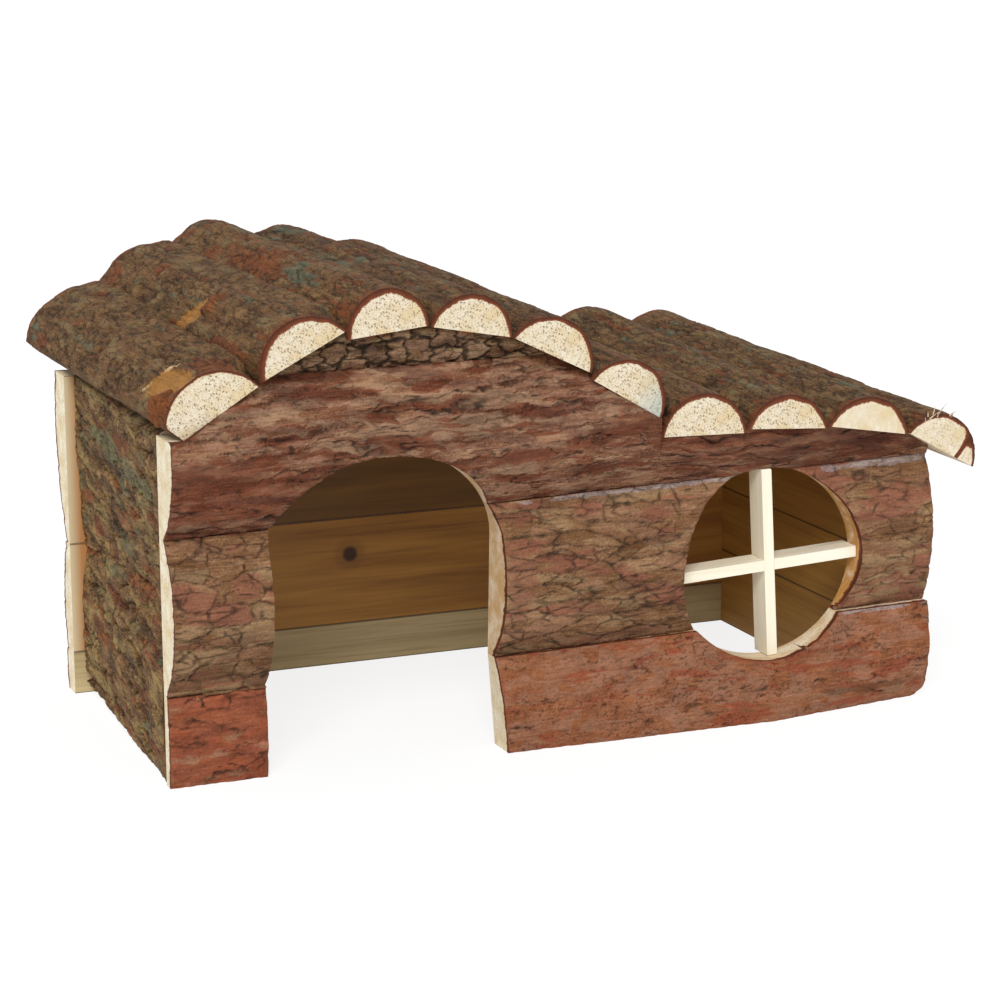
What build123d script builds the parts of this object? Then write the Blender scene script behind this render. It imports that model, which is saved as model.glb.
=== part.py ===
from build123d import *
from dataclasses import dataclass
from math import cos, radians, sin, tan
import os

# A small-animal house of bark-faced slabs: four walls without a floor, an arched doorway, a round
# window with a cross of laths, and a roof of half logs laid side by side from front to back.
#
# All sizes are millimetres in the house's own frame. X runs right along the front wall from its
# left end, Y runs back from the front wall's flat inner face, and Z runs up from the floor.
# At the end everything is moved so that the origin is the bottom centre of the whole house.


@dataclass(frozen=True)
class Bark:
    """Thickness of a bark-faced slab at its lower edge, at its fullest and at its upper edge."""

    low: float
    belly: float
    high: float


@dataclass(frozen=True)
class HalfLog:
    """One half log of the roof, flat side down, from its front end to its rear end.

    width is its width measured level, slope the tilt of its flat, up to the right. All widths are
    stretched alike where the roof has to span a longer or shorter wall.
    seat is the height of the flat's middle, and rise how far the log stands over its flat.
    tail is where its rear end lies, and swell how much its rise grows to there. Over the run of
    the roof its right edge drifts to the right by drift, and its flat climbs by lift.
    """

    width: float
    slope: float
    seat: float
    rise: float
    tail: float
    drift: float = 0.0
    lift: float = 0.0
    swell: float = 0.0


# Plan of the walls
wall_length = 290.0
inner_depth = 122.0
left_slab_inset = 16.0
right_slab_inset = 20.0
seam_gap = 0.1

# Front wall: two courses, an upper board and a gable board
front_low_seam = 31.5
front_low_seam_climb = 5.0
front_high_seam = 86.0
front_high_seam_climb = 5.5
gable_seam = 139.0
post_lower_bark = Bark(5.0, 6.0, 5.0)
post_middle_bark = Bark(4.0, 16.0, 6.0)
sill_bark_at_door = Bark(12.0, 13.0, 7.0)
sill_bark_at_window = Bark(15.0, 14.0, 8.0)
sill_bark_at_corner = Bark(5.0, 10.0, 8.0)
middle_bark_at_door = Bark(7.0, 18.5, 6.0)
corner_bark_at_end = Bark(4.0, 10.5, 3.5)
upper_bark_at_left = Bark(6.0, 18.5, 6.0)
upper_bark_at_right = Bark(4.0, 12.0, 6.0)
gable_bark = Bark(6.0, 12.0, 6.0)

# Doorway: straight jambs up to a half-elliptical arch
door_left = 34.5
door_width = 84.0
door_spring_height = 77.0
door_arch_rise = 33.0
door_waist_inset = 1.0
door_foot_flare = 1.5

# Round window and its cross of laths
window_center_x = 223.7
window_center_z = 56.9
window_width = 73.0
window_height = 69.6
cross_offset = 1.0
cross_drop = 0.7
cross_tilt = 2.8
lath_width = 4.0
lath_depth = 10.0
lath_front = 6.5
lath_clearance = 0.15
lap_clearance = 0.05

# Back wall
back_low_seam = 16.0
back_high_seam = 57.5
back_bottom_bark = Bark(9.0, 11.0, 10.0)
back_middle_bark = Bark(8.5, 11.5, 6.0)
back_upper_bark = Bark(4.5, 15.5, 8.0)
back_gable_bark = Bark(8.0, 12.0, 8.0)

# Side walls, from the front wall to the back wall
left_seam = 66.0
left_seam_drop_at_back = 9.0
left_lift_at_back = 4.0
left_lower_bark_at_front = Bark(15.0, 16.0, 11.0)
left_lower_bark_at_back = Bark(11.0, 12.0, 9.0)
left_upper_bark_at_front = Bark(11.0, 16.0, 10.0)
left_upper_bark_at_back = Bark(10.0, 12.5, 9.0)
right_low_seam = 30.0
right_high_seam = 56.0
right_bark = Bark(12.0, 19.0, 12.0)

# Roof
roof_front = 14.0
roof_run = 190.0
roof_overhang = 14.0
log_gap = 0.4
half_logs = (
    HalfLog(width=31.8, slope=31.6, seat=127.5, rise=15.5, tail=176.0, swell=-0.5),
    HalfLog(width=30.8, slope=27.0, seat=145.7, rise=13.2, tail=184.0, swell=-0.5),
    HalfLog(width=29.2, slope=5.8, seat=151.8, rise=15.2, tail=190.0),
    HalfLog(width=30.1, slope=-10.6, seat=150.0, rise=13.2, tail=187.0, drift=-1.0, lift=0.5),
    HalfLog(width=29.5, slope=-26.2, seat=139.9, rise=13.3, tail=184.0, lift=3.0),
    HalfLog(width=26.6, slope=-30.6, seat=122.6, rise=14.0, tail=180.0, drift=1.5, lift=2.5),
    HalfLog(width=33.2, slope=-1.8, seat=107.6, rise=15.0, tail=175.0, drift=4.0, lift=3.5),
    HalfLog(width=32.4, slope=-3.8, seat=107.3, rise=12.4, tail=172.0, drift=6.0, lift=5.5),
    HalfLog(width=33.0, slope=-9.5, seat=104.1, rise=12.3, tail=173.0, drift=5.0, lift=5.0),
    HalfLog(width=27.4, slope=-28.7, seat=94.4, rise=13.0, tail=172.0, drift=2.0, lift=2.0),
)
eave_shoulder = 5.0
eave_cut_rise = 4.0
wall_margin = 20.0
wall_top = max(log.seat for log in half_logs) + wall_margin

# Stump of a side branch on the first half log, beside its front end
stub_center_y = -7.0
stub_height = 130.0
stub_turn = 30.0
stub_base_diameter = 14.0
stub_end_diameter = 11.0
stub_reach = 2.5
stub_root = 8.0

# Headless brads that pin the roof and the wall corners, hidden under the bark
brad_diameter = 1.4
brad_sides = 8
brad_length = 20.0
brad_clearance = 0.05
roof_brad_bite = 12.0
roof_brad_depth_front = 3.0
roof_brad_depth_back = 5.0
roof_brad_margin = 3.0
corner_brad_bite = 4.0
corner_brad_inset = 6.0
left_front_brad_heights = (15.0, 46.0, 104.0)
right_front_brad_heights = (14.0, 43.0, 74.0)
left_back_brad_heights = (8.0, 38.0, 84.0)
right_back_brad_heights = (8.0, 36.0, 80.0)

up = Vector(0, 0, 1)
frontward = Vector(0, -1, 0)
backward = Vector(0, 1, 0)
leftward = Vector(-1, 0, 0)
rightward = Vector(1, 0, 0)
cut_reach = 60.0


def slab_section(point, outward, bark, bottom, top):
    """Upright section of a slab: flat inner face through the point, bark bulging outward."""
    plane = Plane(origin=point, x_dir=outward, z_dir=outward.cross(up))
    flat = Polyline((bark.high, top), (0, top), (0, bottom), (bark.low, bottom))
    face = ThreePointArc((bark.low, bottom), (bark.belly, (bottom + top) / 2), (bark.high, top))
    return plane * make_face(flat.edges() + face.edges())


def slab(start, end, outward, start_bark, end_bark, start_span, end_span=None):
    """Bark-faced slab lofted along its wall between the sections at its two ends."""
    first = slab_section(start, outward, start_bark, *start_span)
    last = slab_section(end, outward, end_bark, *(end_span or start_span))
    return loft([first, last], ruled=True)


def mix(first, last, share):
    """Bark thicknesses at a share of the way along a slab."""
    return Bark(
        first.low + (last.low - first.low) * share,
        first.belly + (last.belly - first.belly) * share,
        first.high + (last.high - first.high) * share,
    )


def low_seam(x):
    """Height of the seam over the lowest course of the front wall."""
    return front_low_seam + front_low_seam_climb * x / wall_length


def high_seam(x):
    """Height of the seam under the upper board of the front wall."""
    return front_high_seam + front_high_seam_climb * x / wall_length


def doorway_cutter():
    """Doorway outline through the front wall: two jambs under a half ellipse."""
    right = door_left + door_width
    foot_slope = (door_waist_inset + door_foot_flare) / front_low_seam
    middle = door_left + door_width / 2
    arch = EllipticalCenterArc((middle, door_spring_height), door_width / 2, door_arch_rise, 0, arc_size=180)
    jambs = Polyline(
        (door_left, door_spring_height),
        (door_left, -cut_reach),
        (right + door_foot_flare + foot_slope * cut_reach, -cut_reach),
        (right - door_waist_inset, front_low_seam),
        (right, door_spring_height),
    )
    outline = Plane.XZ * make_face(arch.edges() + jambs.edges())
    return extrude(outline, cut_reach, both=True)


def window_cutter(clearance=0.0):
    """Nearly round bar through the front wall at the window."""
    outline = Ellipse(window_width / 2 - clearance, window_height / 2 - clearance)
    return Pos(window_center_x, 0, window_center_z) * extrude(Plane.XZ * outline, cut_reach, both=True)


def roof_edges():
    """Left edge of each half log at the front, and the right edge of the last."""
    stretch = (wall_length + roof_overhang) / sum(log.width for log in half_logs)
    edges = [0.0]
    for log in half_logs:
        edges.append(edges[-1] + log.width * stretch)
    return edges


def flat_ends(index, y):
    """Ends of a half log's flat, as (x, z) pairs, where an upright plane at y cuts the roof."""
    log = half_logs[index]
    share = (y + roof_front) / roof_run
    left_drift = half_logs[index - 1].drift if index else 0.0
    left = roof_edges()[index] + left_drift * share
    right = roof_edges()[index + 1] + log.drift * share
    half_climb = (right - left) / 2 * tan(radians(log.slope))
    seat = log.seat + log.lift * share
    return (left, seat - half_climb), (right, seat + half_climb)


def eave_corner():
    """Where the level shoulder of the walls meets the flat of the first half log."""
    left, right = flat_ends(0, -roof_front)
    return eave_shoulder, left[1] + (eave_shoulder - left[0]) * tan(radians(half_logs[0].slope))


def log_section(index, y, rise):
    """Section of a half log: its flat, and the arc of its bark through the crown."""
    left, right = flat_ends(index, y)
    slope = radians(half_logs[index].slope)
    start = (left[0] + log_gap / 2, left[1] + log_gap / 2 * tan(slope))
    end = (right[0] - log_gap / 2, right[1] - log_gap / 2 * tan(slope))
    crown = ((start[0] + end[0]) / 2 - rise * sin(slope), (start[1] + end[1]) / 2 + rise * cos(slope))
    plane = Plane(origin=(0, y, 0), x_dir=(1, 0, 0), z_dir=(0, -1, 0))
    flat = Line(start, end)
    bark = ThreePointArc(end, crown, start)
    return plane * make_face(flat.edges() + bark.edges())


def half_log(index):
    """Half log lofted from its front section to its rear section."""
    log = half_logs[index]
    front = log_section(index, -roof_front, log.rise)
    rear = log_section(index, log.tail, log.rise + log.swell)
    return loft([front, rear], ruled=True)


def eave_trim():
    """Bar that takes the feather edge off the first half log along the eave."""
    x, z = eave_corner()
    outline = Polyline(
        (x, z),
        (x - cut_reach, z + cut_reach * eave_cut_rise / eave_shoulder),
        (x - cut_reach, z - cut_reach),
        (x, z - cut_reach),
        close=True,
    )
    return extrude(Plane.XZ * make_face(outline.edges()), roof_run + cut_reach, both=True)


def branch_stub():
    """Tapered stump that leaves the flank of the first half log, turned to the front."""
    direction = Plane(
        origin=(0, stub_center_y, stub_height),
        z_dir=(-cos(radians(stub_turn)), -sin(radians(stub_turn)), 0),
    )
    length = stub_root + stub_reach
    cone = Cone(stub_base_diameter / 2, stub_end_diameter / 2, length)
    return direction * Pos(0, 0, length / 2 - stub_root) * cone


def roof_underside():
    """Everything above the flats of the half logs, to cut the tops of the walls."""
    top = wall_top + cut_reach
    pieces = []
    for index in range(len(half_logs)):
        sections = []
        for y in (-cut_reach, inner_depth + cut_reach):
            left, right = flat_ends(index, y)
            outline = [left, right, (right[0], top), (left[0], top)]
            if index == 0:
                corner = eave_corner()
                outline = [corner, right, (right[0], top), (-cut_reach, top), (-cut_reach, corner[1])]
            plane = Plane(origin=(0, y, 0), x_dir=(1, 0, 0), z_dir=(0, -1, 0))
            sections.append(plane * make_face(Polyline(*outline, close=True).edges()))
        pieces.append(loft(sections, ruled=True))
    return pieces


def lath(length, height_center, across):
    """Lath of the window cross, centred on the cross and lying in the wall's thickness."""
    size = (length, lath_width) if across else (lath_width, length)
    return Pos(0, lath_depth / 2 - lath_front, height_center) * Box(size[0], lath_depth, size[1])


def window_cross():
    """Upright and crossbar, half-lapped where they meet and trimmed to the round of the window."""
    length = window_width + window_height
    upright = lath(length, 0, across=False)
    crossbar = lath(length, 0, across=True)
    lap = lath_width + 2 * lap_clearance
    rear_half = Pos(0, lath_depth - lath_front, 0) * Box(lap, lath_depth + 2 * lap_clearance, lap)
    front_half = Pos(0, -lath_front, 0) * Box(lap, lath_depth, lap)
    upright -= rear_half
    crossbar -= front_half
    place = Pos(window_center_x + cross_offset, 0, window_center_z - cross_drop) * Rot(Y=-cross_tilt)
    hole = window_cutter(lath_clearance)
    return (place * upright) & hole, (place * crossbar) & hole


def brad(start, direction, diameter):
    """Headless pin of one brad length from its start point, its round drawn with few sides."""
    plane = Plane(origin=start, z_dir=direction)
    return extrude(plane * RegularPolygon(diameter / 2, brad_sides), brad_length)


def roof_brad_places():
    """Foot points of the roof brads: one over each wall in every half log."""
    places = []
    for y in (-roof_brad_depth_front, inner_depth + roof_brad_depth_back):
        for index in range(len(half_logs)):
            left, right = flat_ends(index, y)
            middle = (left[0] + right[0]) / 2
            x = min(max(middle, roof_brad_margin), wall_length - roof_brad_margin)
            seat = left[1] + (x - left[0]) * tan(radians(half_logs[index].slope))
            places.append((Vector(x, y, seat - roof_brad_bite), up))
    return places


def corner_brad_places():
    """Start points of the brads that run from the long walls into the ends of the side slabs."""
    left = left_slab_inset - corner_brad_inset
    right = wall_length - right_slab_inset + corner_brad_inset
    front = -corner_brad_bite
    back = inner_depth + corner_brad_bite
    places = [(Vector(left, front, z), backward) for z in left_front_brad_heights]
    places += [(Vector(right, front, z), backward) for z in right_front_brad_heights]
    places += [(Vector(left, back, z), frontward) for z in left_back_brad_heights]
    places += [(Vector(right, back, z), frontward) for z in right_back_brad_heights]
    return places


def front_wall():
    """Boards of the front wall before the roof and the brads are cut from them."""
    left = Vector(0, 0, 0)
    right = Vector(wall_length, 0, 0)
    door_side = Vector(door_left + door_width / 2, 0, 0)
    window_side = Vector(window_center_x, 0, 0)
    window_share = (window_center_x - door_side.X) / (wall_length - door_side.X)
    stations = (0, door_side.X, window_center_x, wall_length)
    lower_spans = [(0.0, low_seam(x) - seam_gap) for x in stations]
    middle_spans = [(low_seam(x), high_seam(x) - seam_gap) for x in stations]
    lower_at_left, lower_at_door, lower_at_window, lower_at_right = lower_spans
    middle_at_left, middle_at_door, middle_at_window, middle_at_right = middle_spans
    post_middle = slab(
        left, door_side, frontward, post_middle_bark, post_middle_bark, middle_at_left, middle_at_door
    )
    bark_at_window = mix(middle_bark_at_door, corner_bark_at_end, window_share)
    middle = slab(
        door_side, window_side, frontward, middle_bark_at_door, bark_at_window, middle_at_door, middle_at_window
    )
    corner = slab(
        window_side, right, frontward, bark_at_window, corner_bark_at_end, middle_at_window, middle_at_right
    )
    upper = slab(
        left,
        right,
        frontward,
        upper_bark_at_left,
        upper_bark_at_right,
        (high_seam(0), gable_seam - seam_gap),
        (high_seam(wall_length), gable_seam - seam_gap),
    )
    post_lower = slab(
        left, door_side, frontward, post_lower_bark, post_lower_bark, lower_at_left, lower_at_door
    )
    sill = slab(
        door_side, window_side, frontward, sill_bark_at_door, sill_bark_at_window, lower_at_door, lower_at_window
    ) + slab(
        window_side, right, frontward, sill_bark_at_window, sill_bark_at_corner, lower_at_window, lower_at_right
    )
    doorway = doorway_cutter()
    window = window_cutter()
    return {
        "front_post_lower": post_lower - doorway,
        "front_post_middle": post_middle - doorway,
        "front_sill_board": sill - doorway - window,
        "front_middle_board": middle - doorway - window,
        "front_corner_board": corner - window,
        "front_upper_board": upper - doorway - window,
        "front_gable_board": slab(left, right, frontward, gable_bark, gable_bark, (gable_seam, wall_top)),
    }


def back_wall():
    """Boards of the back wall before the roof and the brads are cut from them."""
    left = Vector(0, inner_depth, 0)
    right = Vector(wall_length, inner_depth, 0)
    courses = {
        "back_bottom_board": (back_bottom_bark, 0.0, back_low_seam - seam_gap),
        "back_middle_board": (back_middle_bark, back_low_seam, back_high_seam - seam_gap),
        "back_upper_board": (back_upper_bark, back_high_seam, gable_seam - seam_gap),
        "back_gable_board": (back_gable_bark, gable_seam, wall_top),
    }
    boards = {}
    for name, (bark, bottom, top) in courses.items():
        boards[name] = slab(left, right, backward, bark, bark, (bottom, top))
    return boards


def side_walls():
    """Slabs of the two side walls before the roof and the brads are cut from them."""
    right_slab_face = wall_length - right_slab_inset
    left_front = Vector(left_slab_inset, seam_gap, 0)
    left_back = Vector(left_slab_inset, inner_depth - seam_gap, 0)
    right_front = Vector(right_slab_face, seam_gap, 0)
    right_back = Vector(right_slab_face, inner_depth - seam_gap, 0)
    left_seam_at_back = left_seam - left_seam_drop_at_back
    return {
        "left_lower_slab": slab(
            left_front,
            left_back,
            leftward,
            left_lower_bark_at_front,
            left_lower_bark_at_back,
            (0.0, left_seam - seam_gap),
            (left_lift_at_back, left_seam_at_back - seam_gap),
        ),
        "left_upper_slab": slab(
            left_front,
            left_back,
            leftward,
            left_upper_bark_at_front,
            left_upper_bark_at_back,
            (left_seam, wall_top),
            (left_seam_at_back, wall_top),
        ),
        "right_lower_slab": slab(
            right_front, right_back, rightward, right_bark, right_bark, (0.0, right_low_seam - seam_gap)
        ),
        "right_middle_slab": slab(
            right_front, right_back, rightward, right_bark, right_bark, (right_low_seam, right_high_seam - seam_gap)
        ),
        "right_upper_slab": slab(
            right_front, right_back, rightward, right_bark, right_bark, (right_high_seam, wall_top)
        ),
    }


def build_house():
    """All named pieces of the house, seated on each other, in the house's own frame."""
    pieces = {**front_wall(), **back_wall(), **side_walls()}
    brad_places = roof_brad_places() + corner_brad_places()
    holes = [brad(start, direction, brad_diameter + 2 * brad_clearance) for start, direction in brad_places]
    above = roof_underside()
    for name in pieces:
        pieces[name] = pieces[name] - above - holes
    for index in range(len(half_logs)):
        log = half_log(index)
        if index == 0:
            log = log + branch_stub() - eave_trim()
        pieces[f"roof_log_{index + 1:02d}"] = log - holes
    pieces["window_upright"], pieces["window_crossbar"] = window_cross()
    pieces["roof_brads"] = Compound([brad(*place, brad_diameter) for place in roof_brad_places()])
    pieces["corner_brads"] = Compound([brad(*place, brad_diameter) for place in corner_brad_places()])
    return pieces


os.makedirs("parts", exist_ok=True)
house = build_house()
box = Compound([solid for piece in house.values() for solid in piece.solids()]).bounding_box()
to_origin = Pos(-box.center().X, -box.center().Y, -box.min.Z)
for name, piece in house.items():
    solids = piece.solids()
    shape = solids[0] if len(solids) == 1 else Compound(solids)
    export_step(to_origin * shape, f"parts/{name}.step")
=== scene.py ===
"""Rodent house of bark-faced slabs with a doorway, a round window and a roof of half logs.

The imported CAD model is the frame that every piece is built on. Unless a name says otherwise, sizes are
millimetres in the house's own frame: X runs right along the front wall from its left end, Y runs back from
the front wall's inner face, and Z runs up from the floor.
"""

from __future__ import annotations

import logging
import math
from dataclasses import dataclass, field, replace
from enum import Enum
from typing import Sequence

import bpy
import numpy as np
from mathutils import Matrix, Vector
from mathutils.bvhtree import BVHTree


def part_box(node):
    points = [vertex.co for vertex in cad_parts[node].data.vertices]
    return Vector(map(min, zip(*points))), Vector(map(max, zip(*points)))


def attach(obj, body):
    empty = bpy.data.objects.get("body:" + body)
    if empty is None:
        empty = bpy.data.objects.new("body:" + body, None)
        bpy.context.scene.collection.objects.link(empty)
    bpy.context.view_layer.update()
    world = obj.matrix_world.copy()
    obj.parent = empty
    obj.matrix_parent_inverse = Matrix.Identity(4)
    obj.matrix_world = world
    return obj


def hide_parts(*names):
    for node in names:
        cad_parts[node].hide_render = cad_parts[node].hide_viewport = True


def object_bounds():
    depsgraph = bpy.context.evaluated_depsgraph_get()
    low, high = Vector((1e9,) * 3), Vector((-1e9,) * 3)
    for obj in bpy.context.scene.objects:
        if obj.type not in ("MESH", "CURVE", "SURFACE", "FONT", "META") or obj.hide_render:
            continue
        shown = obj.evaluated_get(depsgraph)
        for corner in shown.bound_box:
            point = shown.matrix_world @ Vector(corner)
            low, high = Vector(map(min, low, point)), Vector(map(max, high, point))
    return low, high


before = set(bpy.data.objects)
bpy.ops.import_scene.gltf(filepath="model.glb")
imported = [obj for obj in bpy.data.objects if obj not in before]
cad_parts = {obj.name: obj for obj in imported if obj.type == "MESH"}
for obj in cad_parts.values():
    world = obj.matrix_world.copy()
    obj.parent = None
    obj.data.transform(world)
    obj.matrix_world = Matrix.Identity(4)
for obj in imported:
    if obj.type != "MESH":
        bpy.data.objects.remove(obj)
cad_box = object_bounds()

log = logging.getLogger("rodent_house")

MM = 0.001
CORNER_LOW, CORNER_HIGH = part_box("front_post_lower")
ORIGIN = np.array([CORNER_LOW.x, CORNER_HIGH.y, 0.0]) / MM
INNER_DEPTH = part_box("back_middle_board")[0].y / MM - ORIGIN[1]
WALL_LENGTH = 290.0
BRAD_NODES = ("roof_brads", "corner_brads")
SEED_SHIFT = 53.0  # along the grain, from the pattern of one seed to that of the next
NO_RIM = 9.0  # a depth under the bark that no rim reaches
RAY_START = 50.0  # how far off a piece a ray starts
WOOD_IOR = 1.5


# ---------------------------------------------------------------- numbers that look like nature


def smooth(low: float, high: float, value: np.ndarray) -> np.ndarray:
    """Share from 0 at low to 1 at high, with soft ends."""
    share = np.clip((value - low) / (high - low), 0.0, 1.0)
    return share * share * (3.0 - 2.0 * share)


def lattice(ix: np.ndarray, iy: np.ndarray, seed: int) -> np.ndarray:
    """Fixed chance number for each whole grid point.

    Args:
        ix: Whole steps along the first axis.
        iy: Whole steps along the second axis.
        seed: Number that tells one pattern from another.

    Returns:
        Numbers from 0 to 1.
    """
    # Large primes scatter the bits of neighbouring points.
    mixed = (ix.astype(np.int64) * 374761393 + iy.astype(np.int64) * 668265263 + seed * 974711) & 0xFFFFFFFF
    mixed = ((mixed ^ (mixed >> 13)) * 1274126177) & 0xFFFFFFFF
    return ((mixed ^ (mixed >> 16)) & 0xFFFFFF) / float(0xFFFFFF)


def noise(x: np.ndarray, y: np.ndarray, seed: int) -> np.ndarray:
    """Smooth noise with features about one unit apart.

    Args:
        x: First coordinate.
        y: Second coordinate.
        seed: Number that tells one pattern from another.

    Returns:
        Numbers from about -1 to 1.
    """
    x0, y0 = np.floor(x), np.floor(y)
    fx, fy = x - x0, y - y0
    ux = fx**3 * (fx * (fx * 6 - 15) + 10)
    uy = fy**3 * (fy * (fy * 6 - 15) + 10)
    rows = []
    for dy in (0, 1):
        ends = []
        for dx in (0, 1):
            angle = lattice(x0 + dx, y0 + dy, seed) * (2 * math.pi)
            ends.append(np.cos(angle) * (fx - dx) + np.sin(angle) * (fy - dy))
        rows.append(ends[0] + (ends[1] - ends[0]) * ux)
    return 1.5 * (rows[0] + (rows[1] - rows[0]) * uy)


def layers(x: np.ndarray, y: np.ndarray, seed: int, octaves: int = 4) -> np.ndarray:
    """Noise in several sizes, each half the size and strength of the one before.

    Args:
        x: First coordinate.
        y: Second coordinate.
        seed: Number that tells one pattern from another.
        octaves: How many sizes are added.

    Returns:
        Numbers from about -1 to 1.
    """
    total = np.zeros(np.broadcast(x, y).shape)
    for step in range(octaves):
        total += noise(x * 2**step + 17.3 * step, y * 2**step - 9.1 * step, seed + 101 * step) * 0.5**step
    return total


def cells(s: np.ndarray, t: np.ndarray, length: float, width: float, seed: int) -> tuple[np.ndarray, np.ndarray]:
    """Splits a surface into uneven plates.

    Args:
        s: Millimetres along the grain.
        t: Millimetres across the grain.
        length: Usual length of a plate.
        width: Usual width of a plate.
        seed: Number that tells one pattern from another.

    Returns:
        Millimetres from each point to the nearest border, and the chance number of its plate.
    """
    x, y = s / length, t / width
    x0, y0 = np.floor(x), np.floor(y)
    first = np.full(x.shape, 9.0)  # farther than any plate
    second = first.copy()
    near = np.zeros((2, 2, *x.shape))
    chance = np.zeros(x.shape)
    for dy in (-1, 0, 1):
        for dx in (-1, 0, 1):
            cx, cy = x0 + dx, y0 + dy
            offset = np.stack(
                [x - cx - 0.1 - 0.8 * lattice(cx, cy, seed), y - cy - 0.1 - 0.8 * lattice(cx, cy, seed + 1)]
            )
            reach = np.hypot(offset[0], offset[1])
            closer = reach < first
            next_best = ~closer & (reach < second)
            near[1] = np.where(closer, near[0], np.where(next_best, offset, near[1]))
            second = np.where(closer, first, np.where(next_best, reach, second))
            near[0] = np.where(closer, offset, near[0])
            first = np.where(closer, reach, first)
            chance = np.where(closer, lattice(cx, cy, seed + 2), chance)
    lean = near[1] / np.maximum(second, 1e-6) - near[0] / np.maximum(first, 1e-6)
    slope = np.hypot(lean[0] / length, lean[1] / width)
    return (second - first) / np.maximum(slope, 1e-6), chance


# ---------------------------------------------------------------- bark


class Mark(Enum):
    """What a single mark on the bark is."""

    GREY = "weathered grey"
    RUST = "raw red under-bark"
    LICHEN = "green-grey lichen film"
    GOLD = "fresh cut into the wood"
    BARE = "shaved strip, greyed"
    # Real dark stains, and also painted shadow under the roof's logs on the front wall's upper board and painted
    # shade in the valley between the first two logs.
    DARK = "dark stain"


@dataclass
class Surface:
    """Relief and colour shares of a patch of bark, one number for each of its points."""

    height: np.ndarray
    # Painted shade in cracks, furrows and pits and along the flakes' lips, from 0 to 1.
    crack_shade: np.ndarray
    tone: np.ndarray
    shares: dict[Mark, np.ndarray]

    @classmethod
    def cut(cls, blank: np.ndarray, shares: dict[Mark, np.ndarray | float]) -> "Surface":
        """Makes the surface of a saw cut, which has no relief.

        Args:
            blank: A zero for each point.
            shares: Colour shares other than 0.

        Returns:
            The surface.
        """
        return cls(blank, blank, blank, {mark: blank + shares.get(mark, 0.0) for mark in Mark})


@dataclass(frozen=True)
class Spot:
    """A mark at one place: s runs along the grain and t across it, in the piece's own millimetres.

    A positive depth cuts it into the surface and a negative one lets it stand proud.
    """

    mark: Mark
    s: float
    t: float
    length: float
    width: float
    turn: float = 0.0
    strength: float = 1.0
    depth: float = 0.0
    ragged: float = 0.35

    def share(self, s: np.ndarray, t: np.ndarray, seed: int) -> np.ndarray:
        """How much of the mark each point has.

        Args:
            s: Millimetres along the grain.
            t: Millimetres across the grain.
            seed: Number that tells one outline from another.

        Returns:
            From 0 outside the ragged outline to the mark's strength.
        """
        cosine, sine = math.cos(math.radians(self.turn)), math.sin(math.radians(self.turn))
        along = ((s - self.s) * cosine + (t - self.t) * sine) / (self.length / 2)
        across = ((t - self.t) * cosine - (s - self.s) * sine) / (self.width / 2)
        reach = np.hypot(along, across) + self.ragged * layers(s / 7, t / 2.5, seed, 3)
        return self.strength * (1 - smooth(0.75, 1.1, reach))


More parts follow.
